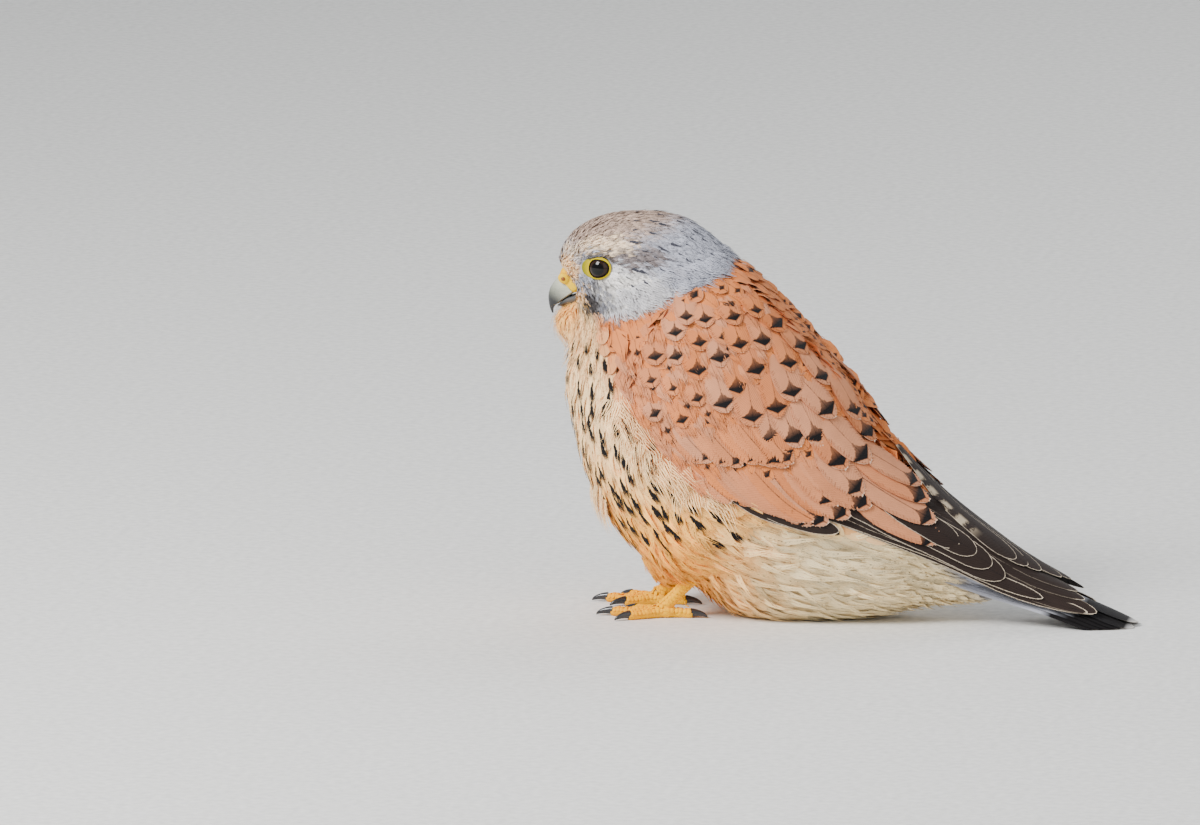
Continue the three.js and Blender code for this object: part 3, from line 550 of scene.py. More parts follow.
class Tone(str, Enum):
    """Colours of the plumage, as they look in soft daylight."""

    CROWN = "#AC9383"
    NAPE = "#A8A9B4"
    CHEEK = "#DAD5D0"
    BROW = "#FBDDB6"
    LORE = "#F0C48E"
    MOUSTACHE = "#35302F"
    BEHIND_EYE = "#6A5C56"
    CHIN = "#FFC26C"
    MANTLE = "#D27C44"
    MANTLE_GREY = "#CB8E6C"
    MANTLE_DEEP = "#C06A38"
    BREAST = "#FFD69E"
    BELLY = "#FFC062"
    THIGH = "#FFAE38"
    VENT = "#F2DCAE"
    RUMP = "#9A9CA8"
    FLIGHT = "#2B211D"
    WEB = "#C2AF94"
    TAIL = "#B4B4BC"
    TAIL_UNDER = "#CFCAC2"
    SHAFT = "#3E3E46"
    DARK = "#161314"
    PALE = "#F1DEC4"

    def colour(self) -> np.ndarray:
        """Its linear colour."""
        return np.array(linear(self.value))


@dataclass(frozen=True)
class Patch:
    """A soft-edged patch of one tone: its middle, its reach along each axis in mm, and how full it is."""

    tone: Tone
    middle: Triple
    reach: Triple
    strength: float = 1


@dataclass(frozen=True)
class Markings:
    """The colours of the plumage by place, the same for the skin and the coat.

    The hood's edge is a height for each place ahead, and the mantle's a place across for each one along the
    trunk. The patches are laid one over another in their order.
    """

    hood_soft: float = 3
    hood_edge: tuple[tuple[float, float], ...] = (
        (-140, 152), (-118, 144), (-108, 139), (-96, 141), (-79, 149), (-63, 155.5), (-52, 165), (-44, 178),
    )
    mantle_edge: tuple[tuple[float, float], ...] = (
        (-190, 14), (-172, 6), (-155, -1), (-123, -7), (-90, 0), (-60, 22), (-30, 42), (0, 58), (60, 78),
    )
    patches: tuple[Patch, ...] = (
        Patch(Tone.CROWN, (-108, 0, 184), (34, 26, 20)),
        Patch(Tone.CHEEK, (-98, 22, 152), (20, 14, 13)),
        Patch(Tone.BEHIND_EYE, (-94, 21, 168.5), (18, 8, 5), 0.85),
        Patch(Tone.BROW, (-110, 16, 172.5), (18, 8, 4.2), 0.75),
        Patch(Tone.BROW, (-124, 6, 168), (7, 9, 5), 0.6),
        Patch(Tone.LORE, (-126, 8, 160), (9, 9, 7), 0.95),
        Patch(Tone.CHIN, (-125, 0, 140), (15, 16, 13)),
        Patch(Tone.MOUSTACHE, (-114, 19, 151), (5.4, 7, 8.5), 0.62),
        Patch(Tone.MOUSTACHE, (-114.6, 19, 144.6), (6.4, 7, 7), 0.95),
        Patch(Tone.CHIN, (-121, 16, 148), (4.5, 6, 6), 0.6),
    )

    def hood(self, points: np.ndarray) -> np.ndarray:
        """How far places belong to the grey hood."""
        edge = between(self.hood_edge, points[:, 0])[:, 0]
        return ease(-self.hood_soft, self.hood_soft, points[:, 2] - edge)

    def mantle(self, points: np.ndarray) -> np.ndarray:
        """How far places belong to the rufous mantle and wings.

        Args:
            points: places in mm.
        Returns:
            A share for each place.
        """
        along, across = to_trunk(points)
        edge = between(self.mantle_edge, along)[:, 0]
        behind = ease(-4, 3, across - edge) * ease(-118, -104, points[:, 0] + 0.25 * (points[:, 2] - 120))
        return behind * (1 - ease(30, 48, along))

    @staticmethod
    def under_wing(points: np.ndarray) -> np.ndarray:
        """How far places are below the folded wing's lower edge in mm."""
        along, across = to_trunk(points)
        return between(WING_LOW, along)[:, 0] - across

    def tone(self, points: np.ndarray) -> np.ndarray:
        """The colours at places, the same on both sides of the bird.

        Args:
            points: places in mm.
        Returns:
            Linear colours.
        """
        tones = {t: t.colour() for t in Tone}
        place = one_side(points)
        along, across = to_trunk(place)
        colour = np.tile(tones[Tone.BREAST], (len(points), 1))

        def lay(tone: Tone, share: np.ndarray) -> None:
            """Covers what is there with a tone by its share."""
            colour[:] += (tones[tone] - colour) * np.clip(share, 0, 1)[:, None]

        lay(Tone.BELLY, ease(95, 45, place[:, 2]) * 0.9)
        lay(Tone.THIGH, ease(70, 30, place[:, 2]) * ease(0, -62, place[:, 0]) * 0.8)
        lay(Tone.VENT, ease(-72, -10, place[:, 0]) * ease(60, 40, place[:, 2]))
        lay(Tone.MANTLE, self.mantle(place))
        lay(Tone.RUMP, ease(-22, 0, along) * ease(52, 62, across))
        lay(Tone.FLIGHT, ease(-24, -8, along) * ease(2, 8, across - between(WING_LOW, along)[:, 0]))
        lay(Tone.NAPE, self.hood(place))
        for patch in self.patches:
            share = np.linalg.norm((place - patch.middle) / patch.reach, axis=1)
            lay(patch.tone, patch.strength * ease(1.15, 0.6, share))
        return colour


@dataclass(frozen=True)
class Lie:
    """Which way the coat lies: rows of a place in mm and the way there, on the right half."""

    samples: Rows = (
        (-127, 0, 170, 0.5, 0, 0.87), (-116, 0, 183, 0.95, 0, 0.35), (-98, 0, 187, 1, 0, 0),
        (-80, 0, 185, 0.92, 0, -0.35), (-62, 0, 172, 0.72, 0, -0.7), (-126, 8, 160, 0.85, 0.5, 0.25),
        (-121, 14, 170, 0.9, 0.25, 0.45), (-109, 17, 173, 1, 0.1, 0.1), (-96, 21, 168, 1, 0.05, -0.12),
        (-80, 21, 165, 0.9, 0, -0.4), (-66, 17, 158, 0.75, 0, -0.66), (-112, 19, 151, 0.55, 0.1, -0.75),
        (-100, 22, 154, 0.93, 0, -0.38), (-86, 22, 150, 0.82, 0, -0.55), (-123, 14, 152, 0.75, 0.4, -0.5),
        (-127, 4, 141, 0.1, 0, -1), (-118, 12, 136, 0.25, 0.1, -0.95), (-106, 20, 137, 0.45, 0.1, -0.88),
        (-90, 24, 132, 0.55, 0.1, -0.85), (-122, 0, 112, 0.02, 0, -1), (-121, 0, 90, 0.16, 0, -1),
        (-112, 0, 62, 0.42, 0, -0.9), (-92, 0, 32, 0.8, 0, -0.6), (-55, 0, 16, 1, 0, -0.1),
        (20, 0, 12, 1, 0, -0.05),
        (-112, 28, 108, 0.2, 0, -0.98), (-100, 36, 85, 0.42, 0, -0.9), (-80, 38, 60, 0.62, 0, -0.78),
        (-60, 34, 42, 0.78, 0, -0.62), (-25, 30, 36, 0.97, 0, -0.3), (10, 18, 24, 1, 0, -0.16),
        (-45, 0, 140, 0.64, 0, -0.77), (-10, 0, 100, 0.7, 0, -0.71), (25, 0, 65, 0.78, 0, -0.62),
        (-60, 45, 105, 0.66, 0, -0.75), (-10, 35, 60, 0.8, 0, -0.6),
    )

    blend: float = 30

    def way(self, points: np.ndarray) -> np.ndarray:
        """The way of the coat, before it is laid on the skin.

        Args:
            points: places in mm.
        Returns:
            A direction for each place, a mean of the samples in which near ones weigh most.
        """
        table = np.asarray(self.samples, float)
        place = one_side(points)
        gap = ((place[:, None] - table[None, :, :3]) ** 2).sum(2)
        weight = 1 / (gap + self.blend) ** 2
        way = unit((weight[:, :, None] * table[None, :, 3:]).sum(1))
        way[:, 1] *= np.sign(points[:, 1])
        return way


@dataclass
class Ground:
    """A surface that feathers are laid on, in mm."""

    shape: Shape

    def __post_init__(self) -> None:
        """Makes the search tree once."""
        self.tree = self.shape.tree()

    def nearest(self, points: np.ndarray) -> tuple[np.ndarray, np.ndarray]:
        """The nearest places on the surface.

        Args:
            points: places in mm.
        Returns:
            The nearest places and the directions out of the surface there.
        """
        found = [self.tree.find_nearest(p)[:2] for p in points.reshape(-1, 3).tolist()]
        places = np.array([f[0] for f in found]).reshape(points.shape)
        return places, np.array([f[1] for f in found]).reshape(points.shape)

    def sites(self, gap: float, keep: np.ndarray, seed: int) -> np.ndarray:
        """Even random places on the surface, no nearer to each other than a gap.

        Args:
            gap: least distance between places in mm.
            keep: which of the surface's points may be used.
            seed: start of the random order.
        Returns:
            The places.
        """
        rng = np.random.default_rng(seed)
        points = self.shape.points[keep]
        order = rng.permutation(len(points))
        taken: dict[tuple[int, ...], list[list[float]]] = {}
        chosen = []
        for place in points[order].tolist():
            cell = tuple(int(v // gap) for v in place)
            near = (
                q
                for step in itertools.product((-1, 0, 1), repeat=3)
                for q in taken.get(tuple(c + d for c, d in zip(cell, step)), ())
            )
            if all(math.dist(place, q) > gap for q in near):
                taken.setdefault(cell, []).append(place)
                chosen.append(place)
        return np.array(chosen).reshape(-1, 3)


def outline(run: np.ndarray, tip: float, root: float) -> np.ndarray:
    """A vane's half width at shares of its length. It closes from the tip's start on."""
    rise = root + (1 - root) * ease(0, 0.5, run)
    return rise * np.sqrt(np.clip(1 - (np.clip(run - tip, 0, 1) / (1 - tip)) ** 2.4, 0.012, 1))


# A barb's points are left, ridge and right at its root, the same at its middle, and its tip.
BARB_FACES = np.array([
    (0, 1, 4), (0, 4, 3), (1, 2, 5), (1, 5, 4), (2, 0, 3), (2, 3, 5), (0, 2, 1), (3, 4, 6), (4, 5, 6),
    (5, 3, 6),
])


@dataclass
class Pattern:
    """One feather or tuft in its own measure.

    X is -1 to 1 across, y is 0 to 1 from root to tip and z is mm out. Edge is how far in from the outline a
    point lies, in the measure of x.
    """

    points: np.ndarray
    faces: np.ndarray
    edge: np.ndarray

    @staticmethod
    def vane(rows: int, columns: int, thick: float, tip: float, root: float = 0.45) -> "Pattern":
        """A whole vane that is lens-shaped across.

        Args:
            rows: rings from root to tip.
            columns: points across its upper face.
            thick: half its thickness at the shaft in mm.
            tip: where its outline begins to close.
            root: share of its width at the root.
        Returns:
            The pattern.
        """
        run = 1 - np.linspace(1, 0, rows) ** 1.7
        width = outline(run, tip, root)
        top = np.linspace(-1, 1, columns)
        share = np.concatenate([top, top[-2:0:-1]])
        side = np.concatenate([np.ones(columns), -np.ones(columns - 2)])
        count = len(share)
        x = width[:, None] * share
        y = np.repeat(run[:, None], count, 1)
        z = side * thick * (1 - share**2) * (0.35 + 0.65 * ease(1, 0.9, run)[:, None])
        faces = []
        for r in range(rows - 1):
            for j in range(count):
                a, b = r * count + j, r * count + (j + 1) % count
                faces += [(a, b, b + count), (a, b + count, a + count)]
        end = (rows - 1) * count
        for j in range(1, count - 1):
            faces += [(0, j + 1, j), (end, end + j, end + j + 1)]
        edge = np.broadcast_to(width[:, None] * (1 - np.abs(share)), x.shape)
        return Pattern(np.stack([x, y, z], -1).reshape(-1, 3), np.array(faces), edge.ravel())

    @staticmethod
    def barbs(count: int, seed: int, wide: float, splay: float, rough: float) -> "Pattern":
        """A loose feather of separate pointed barbs.

        Args:
            count: barbs in all.
            seed: start of the random draws.
            wide: half a barb's width against half the feather's.
            splay: how far across the feather the barbs' ends spread at the tip.
            rough: how much their ends differ.
        Returns:
            The pattern.
        """
        rng = np.random.default_rng(seed)
        points, faces = [], []
        for i in range(count):
            side = (i / (count - 1)) * 2 - 1
            reach = np.clip(1 - 0.42 * abs(side) ** 1.6 + rng.normal(0, rough), 0.3, 1.05)
            start = (0.12 * side, reach * 0.05, 0.0)
            bend = (0.85 * side * splay / 0.55, reach * 0.55, 0.1 + 0.12 * rng.random())
            end = (side * splay + rng.normal(0, rough * 0.6), reach, 0.05 + 0.2 * rng.random())
            for (x, y, z), w in ((start, wide * 1.1), (bend, wide)):
                points += [(x - w, y, z), (x, y, z + 0.07), (x + w, y, z)]
            points.append(end)
            faces.append(BARB_FACES + 7 * i)
        points = np.array(points)
        return Pattern(points, np.concatenate(faces), np.full(len(points), 0.5))

    @staticmethod
    def fringe(count: int, seed: int, aspect: float, tip: float, root: float = 0.5) -> "Pattern":
        """The separate barbs of a vane, each from its shaft to just past its outline.

        Args:
            count: barbs in all, half of them to each side.
            seed: start of the random draws.
            aspect: the feather's length against half its width.
            tip: where its outline begins to close.
            root: share of its width at the root.
        Returns:
            The pattern.
        """
        rng = np.random.default_rng(seed)
        points, faces = [], []
        for i in range(count):
            side = 1 if i % 2 else -1
            start = 0.12 + 0.86 * (i // 2) / (count // 2 - 1)
            over = min(start + 0.16 * (1.15 - start), 0.995)
            width = outline(np.array([over]), tip, root)[0]
            end = np.array((side * width * rng.normal(1.03, 0.035), over + rng.normal(0, 0.006) + 0.008))
            base = np.array((0.03 * side, start))
            middle = base + (end - base) * (0.62, 0.42)
            ahead = (end - base) * (1, aspect)
            right = np.array((ahead[1], -ahead[0] / aspect)) / np.linalg.norm(ahead) * 0.95 / count * aspect
            for (x, y), z in ((base, 0.03), (middle, 0.08)):
                points += [(*((x, y) - right), z), (x, y, z + 0.06), (*((x, y) + right), z)]
            points.append((*end, 0.06 + 0.1 * rng.random()))
            faces.append(BARB_FACES + 7 * i)
        points = np.array(points)
        edges = np.maximum(outline(points[:, 1], tip, root) * 1.04 - np.abs(points[:, 0]), 0)
        return Pattern(points, np.concatenate(faces), edges)


@dataclass
class Laid:
    """Middle lines of feathers on a surface, with the directions out of it and across each feather."""

    middle: np.ndarray
    out: np.ndarray
    aside: np.ndarray
    length: np.ndarray
    half: np.ndarray

    KNOTS = 5

    @classmethod
    def from_lines(cls, middle: np.ndarray, out: np.ndarray, half: np.ndarray) -> "Laid":
        """Feathers from their middle lines.

        Args:
            middle: the points of each line in mm.
            out: directions out of the surface there.
            half: half of each feather's width in mm.
        Returns:
            The laid feathers.
        """
        ahead = unit(np.gradient(middle, axis=1))
        out = unit(out - ahead * (out * ahead).sum(-1, keepdims=True))
        length = np.linalg.norm(np.diff(middle, axis=1), axis=-1).sum(1)
        return cls(middle, out, np.cross(ahead, out), length, half)

    @classmethod
    def on_ground(
        cls, ground: Ground, roots: np.ndarray, way: Lie, length: np.ndarray, half: np.ndarray,
        spread: float, seed: int,
    ) -> "Laid":
        """Feathers that run over a surface with the lie of the coat.

        Args:
            ground: the surface.
            roots: where the feathers start.
            way: the lie of the coat.
            length: length of each feather in mm.
            half: half of each feather's width in mm.
            spread: how much their directions differ, in radians.
            seed: start of the random draws.
        Returns:
            The laid feathers.
        """
        rng = np.random.default_rng(seed)
        place, out = ground.nearest(roots)
        turn = rng.normal(0, spread, len(roots))[:, None]
        line, outs = [place], [out]
        for _ in range(cls.KNOTS - 1):
            ahead = way.way(place)
            ahead = unit(ahead - out * (ahead * out).sum(1, keepdims=True))
            ahead = unit(ahead + turn * np.cross(out, ahead))
            place, out = ground.nearest(place + ahead * length[:, None] / (cls.KNOTS - 1))
            line.append(place)
            outs.append(out)
        return cls.from_lines(np.stack(line, 1), np.stack(outs, 1), half)

    def fill(
        self, pattern: Pattern, lift: Sequence[float], camber: float = 0, tilt: float = 0
    ) -> np.ndarray:
        """Places of a pattern's points on every feather.

        Args:
            pattern: the feather's shape.
            lift: height of its shaft over the surface at root, middle and tip in mm, or one row each.
            camber: how far its edges droop in mm.
            tilt: how far one edge is lifted and the other lowered in mm.
        Returns:
            Array of feathers, points and coordinates.
        """
        x, y, z = pattern.points.T
        knots = np.linspace(0, 1, self.KNOTS)
        basis = between(np.column_stack([knots, np.eye(self.KNOTS)]), y)
        over = between(np.column_stack([(0, 0.5, 1), np.eye(3)]), y) @ np.atleast_2d(lift).T
        over = np.broadcast_to(over.T, (len(self.middle), len(x)))
        middle = np.einsum("vk,nkc->nvc", basis, self.middle)
        out = unit(np.einsum("vk,nkc->nvc", basis, self.out))
        aside = unit(np.einsum("vk,nkc->nvc", basis, self.aside))
        past = np.clip(y - 1, 0, None)[None, :, None] * self.length[:, None, None]
        ahead = np.cross(out, aside)
        height = over + z - camber * x**2 + tilt * x
        return middle + aside * (x * self.half[:, None])[..., None] + out * height[..., None] + ahead * past


@dataclass
class Batch:
    """Feathers of one pattern with what they are marked with.

    A mark is a streak's width, a spot's size and a rim's strength. A web is the strengths of bars and shaft
    and a change of brightness. Home is a feather's place on the export's map, in a square one cell wide.
    """

    pattern: Pattern
    laid: Laid
    places: np.ndarray
    tone: np.ndarray
    mark: np.ndarray
    web: np.ndarray
    home: np.ndarray
    cell: float = 0.003
    flip: float = 1

    def arrays(self) -> dict[str, np.ndarray]:
        """All the feathers, one after another.

        Returns:
            Their points and faces, and the values place, tone, mark, web and home of each point.
        """
        count, size = self.places.shape[:2]
        x, y, _ = self.pattern.points.T
        half, length = self.laid.half[:, None], self.laid.length[:, None]
        across, left = self.flip * x * half, (1 - y) * length
        edge = np.minimum(self.pattern.edge * half, 0.35 * half + 0 * left)
        edge = np.minimum(edge, np.maximum(left, 0) + 0.05)
        faces = self.pattern.faces[None] + (np.arange(count) * size)[:, None, None]
        spot = np.stack([np.clip(x, -1, 1) * 0.45, y - 0.5], -1) * self.cell * 0.94
        tone = self.tone if self.tone.ndim == 3 else np.repeat(self.tone[:, None], size, 1)
        return {
            "points": self.places.reshape(-1, 3),
            "faces": faces.reshape(-1, 3),
            "place": np.stack([across, left, edge], -1).reshape(-1, 3),
            "tone": tone.reshape(-1, 3),
            "mark": np.repeat(self.mark, size, 0),
            "web": np.repeat(self.web, size, 0),
            "home": (self.home[:, None] + spot).reshape(-1, 2),
        }


def feather_piece(name: str, batches: Sequence[Batch], material: bpy.types.Material) -> bpy.types.Object:
    """Joins batches of feathers into one piece.

    Args:
        name: the piece's name.
        batches: what it is made of.
        material: the plumage finish.
    Returns:
        The piece, riding on the body.
    """
    parts = [b.arrays() for b in batches]
    shape = Shape.joined([Shape(p["points"], p["faces"]) for p in parts])
    shape.points[:, 2] = np.maximum(shape.points[:, 2], FLOOR_GAP)
    piece = make_object(name, shape)
    for key in ("place", "tone", "mark", "web"):
        set_values(piece, key, np.concatenate([p[key] for p in parts]))
    set_bake_map(piece, np.concatenate([p["home"] for p in parts]))
    piece.data.materials.append(material)
    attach(piece, Body.ROOT.value)
    log.info("%s: %d feathers, %d triangles", name, sum(len(b.places) for b in batches), len(shape.faces))
    return piece


@dataclass(frozen=True)
class Plumage:
    """Keratin vanes and down: dull, a little soft, with the shaft and barbs as fine lines."""

    name: str = "plumage_keratin"
    roughness: float = 0.72
    barb_gap: float = 1.3
    streak_length: float = 13.0
    bar_gap: float = 9.5

    def make(self) -> bpy.types.Material:
        """The material. Its marks come from each feather's own values, so that they follow the vane.

        Returns:
            The new material.
        """
        material = bpy.data.materials.new(self.name)
        material.use_nodes = True
        tree = material.node_tree
        tree.nodes.clear()
        dark, pale, web = (rgba(t.value) for t in (Tone.DARK, Tone.PALE, Tone.WEB))
        blend, times = {"data_type": "RGBA"}, {"blend_type": "MULTIPLY"}
        add_nodes(tree, (
            ("tone", "ShaderNodeAttribute", {"attribute_name": "tone"}, {}),
            ("place", "ShaderNodeAttribute", {"attribute_name": "place"}, {}),
            ("mark", "ShaderNodeAttribute", {"attribute_name": "mark"}, {}),
            ("web", "ShaderNodeAttribute", {"attribute_name": "web"}, {}),
            ("at", "ShaderNodeSeparateXYZ", {}, {0: "place:Vector"}),
            ("marks", "ShaderNodeSeparateXYZ", {}, {0: "mark:Vector"}),
            ("webs", "ShaderNodeSeparateXYZ", {}, {0: "web:Vector"}),
            ("where", "ShaderNodeTexCoord", {}, {}),
            # Barbs that part here and there, about a millimetre apart, so marks have ragged edges.
            ("rag", "ShaderNodeTexNoise", {}, {"Vector": "where:Object", "Scale": 850.0, "Detail": 3.0}),
            ("soft", "ShaderNodeTexNoise", {}, {"Vector": "where:Object", "Scale": 130.0, "Detail": 2.0}),
            reckon("fray", "MULTIPLY_ADD", "rag:0", 1.6, -0.8),
            reckon("aside", "ABSOLUTE", "at:X"),
            reckon("aside_frayed", "ADD", "aside", "fray"),
            reckon("left_frayed", "MULTIPLY_ADD", "fray", 0.8, "at:Y"),
            # Streak: a drop along the shaft, pointed towards the root and blunt near the tip.
            reckon("streak_tip", "LINEAR", "left_frayed", 0.6, 2.6),
            reckon("streak_root", "LINEAR", "left_frayed", self.streak_length, 4.0),
            reckon("streak_body", "MINIMUM", "streak_tip", "streak_root"),
            reckon("streak_wide", "MULTIPLY", "streak_body", "marks:X"),
            reckon("streak_gap", "SUBTRACT", "streak_wide", "aside_frayed"),
            reckon("streak", "SMOOTHSTEP", "streak_gap", -0.15, 0.35),
            # Spot: a kite near the tip, widest just before the pale fringe.
            reckon("spot_on", "GREATER_THAN", "marks:Y", 0.05),
            reckon("spot_far", "SUBTRACT", "left_frayed", 1.6),
            reckon("spot_near", "MULTIPLY", "marks:Y", -0.9),
            reckon("spot_back", "ADD", "spot_far", "spot_near"),
            reckon("spot_slope", "MULTIPLY", "spot_back", 0.7),
            reckon("spot_fore", "MULTIPLY", "spot_back", -1.15),
            reckon("spot_reach", "MAXIMUM", "spot_slope", "spot_fore"),
            reckon("spot_root", "MAXIMUM", "spot_back", 0.0),
            reckon("spot_waist", "MULTIPLY_ADD", "spot_root", 0.3, 0.66),
            reckon("spot_sum", "MULTIPLY_ADD", "aside_frayed", "spot_waist", "spot_reach"),
            reckon("spot_gap", "SUBTRACT", "marks:Y", "spot_sum"),
            reckon("spot_edge", "SMOOTHSTEP", "spot_gap", -0.35, 0.75),
            reckon("spot", "MULTIPLY", "spot_edge", "spot_on"),
            # Fringe: a thin pale rim round the vane.
            reckon("rim_frayed", "MULTIPLY_ADD", "fray", 0.5, "at:Z"),
            reckon("rim_edge", "SMOOTHSTEP", "rim_frayed", 0.48, 0.14),
            reckon("rim_tip", "SMOOTHSTEP", "at:Y", 7.0, 2.0),
            reckon("rim_round", "SUBTRACT", "marks:Z", 1.0),
            reckon("rim_where", "MAXIMUM", "rim_tip", "rim_round"),
            reckon("rim_full", "MINIMUM", "marks:Z", 1.0),
            reckon("rim_gaps", "SMOOTHSTEP", "rag:0", 0.3, 0.55, 0.35, 1.0),
            reckon("rim_broken", "MULTIPLY", "rim_edge", "rim_gaps"),
            reckon("rim_part", "MULTIPLY", "rim_broken", "rim_full"),
            reckon("rim", "MULTIPLY", "rim_part", "rim_where"),
            # Bars across the inner web of the long wing feathers.
            reckon("bar_fray", "MULTIPLY", "fray", 2.2),
            reckon("bar_turn", "MULTIPLY_ADD", "at:Y", FULL_TURN / self.bar_gap, "bar_fray"),
            reckon("bar_wave", "SINE", "bar_turn"),
            reckon("bar_edge", "SMOOTHSTEP", "bar_wave", -0.7, 0.6),
            reckon("bar_side", "SMOOTHSTEP", "at:X", 0.2, 2.6),
            reckon("bar_far", "SMOOTHSTEP", "at:Y", 18.0, 30.0),
            reckon("bar_half", "MULTIPLY", "bar_edge", "bar_side"),
            reckon("bar_part", "MULTIPLY", "bar_half", "bar_far"),
            reckon("bar", "MULTIPLY", "bar_part", "webs:X"),
            # Shaft and barbs: thin dark middle line and faint slanting lines.
            reckon("shaft_edge", "SMOOTHSTEP", "aside", 0.42, 0.12),
            reckon("shaft", "MULTIPLY", "shaft_edge", "webs:Y"),
            reckon("slant", "MULTIPLY_ADD", "aside", -1.2, "at:Y"),
            reckon("turn", "MULTIPLY_ADD", "slant", FULL_TURN / self.barb_gap, "fray"),
            reckon("wave", "SINE", "turn"),
            reckon("relief", "MULTIPLY_ADD", "wave", 0.045, 1.08),
            reckon("blotch", "MULTIPLY_ADD", "soft:0", 0.34, -0.17),
            reckon("luck", "ADD", "blotch", "webs:Z"),
            reckon("value", "ADD", "relief", "luck"),
            ("base", "ShaderNodeMix", blend | times, {0: 1.0, 6: "tone:Color", 7: "value"}),
            ("with_bar", "ShaderNodeMix", blend, {0: "bar", 6: "base:2", 7: web}),
            ("with_shaft", "ShaderNodeMix", blend, {0: "shaft", 6: "with_bar:2", 7: dark}),
            ("with_rim", "ShaderNodeMix", blend, {0: "rim", 6: "with_shaft:2", 7: pale}),
            ("with_streak", "ShaderNodeMix", blend, {0: "streak", 6: "with_rim:2", 7: dark}),
            reckon("spot_fade", "LINEAR", "spot_back", -0.5, 4.5, 1.0, 0.55),
            reckon("spot_tone", "MULTIPLY", "spot", "spot_fade"),
            ("with_spot", "ShaderNodeMix", blend, {0: "spot_tone", 6: "with_streak:2", 7: dark}),
            ("bump", "ShaderNodeBump", {}, {"Strength": 0.25, "Distance": 0.0003, "Height": "wave"}),
            (
                "surface",
                "ShaderNodeBsdfPrincipled",
                {},
                {
                    "Base Color": "with_spot:2", "Roughness": self.roughness, "Specular IOR Level": 0.14,
                    "Normal": "bump", "Sheen Weight": 0.04, "Sheen Roughness": 0.5,
                },
            ),
            ("output", "ShaderNodeOutputMaterial", {}, {0: "surface"}),
        ))
        return material


@dataclass(frozen=True)
class Keratin:
    """Bill, claw, leg and ring finishes: fine grain, and one tone that turns to another over a distance."""

    name: str
    near: str
    far: str
    middle: Triple
    reach: tuple[float, float]
    grain: float = 0.6
    relief: float = 0.15
    roughness: float = 0.35
    coat: float = 0.0
    gloss: float = 0.5
    drift: float = 1.2
    depth: float = 0.4

    def make(self) -> bpy.types.Material:
        """The material. The near tone lies round the middle and the far tone past the reach, both in mm.

        Returns:
            The new material.
        """
        material = bpy.data.materials.new(self.name)
        material.use_nodes = True
        tree = material.node_tree
        tree.nodes.clear()
        middle = tuple(v * MM for v in self.middle)
        near, far = rgba(self.near), rgba(self.far)
        blend, times = {"data_type": "RGBA"}, {"blend_type": "MULTIPLY"}
        add_nodes(tree, (
            ("where", "ShaderNodeTexCoord", {}, {}),
            ("gap", "ShaderNodeVectorMath", {"operation": "DISTANCE"}, {0: "where:Object", 1: middle}),
            (
                "grain", "ShaderNodeTexNoise", {},
                {"Vector": "where:Object", "Scale": 1 / (self.grain * MM), "Detail": 4.0},
            ),
            reckon("drift", "MULTIPLY_ADD", "grain:0", self.drift * MM, "gap:Value"),
            reckon("share", "SMOOTHSTEP", "drift", self.reach[0] * MM, self.reach[1] * MM),
            ("tone", "ShaderNodeMix", blend, {0: "share", 6: near, 7: far}),
            reckon("shade", "LINEAR", "grain:0", 0.25, 0.75, 0.86, 1.1),
            ("colour", "ShaderNodeMix", blend | times, {0: 1.0, 6: "tone:2", 7: "shade"}),
            (
                "bump", "ShaderNodeBump", {},
                {"Strength": self.relief, "Distance": self.depth * MM, "Height": "grain:0"},
            ),
            (
                "surface",
                "ShaderNodeBsdfPrincipled",
                {},
                {
                    "Base Color": "colour:2", "Roughness": self.roughness, "Normal": "bump",
                    "Coat Weight": self.coat, "Coat Roughness": 0.08, "Specular IOR Level": self.gloss,
                },
            ),
            ("output", "ShaderNodeOutputMaterial", {}, {0: "surface"}),
        ))
        return material


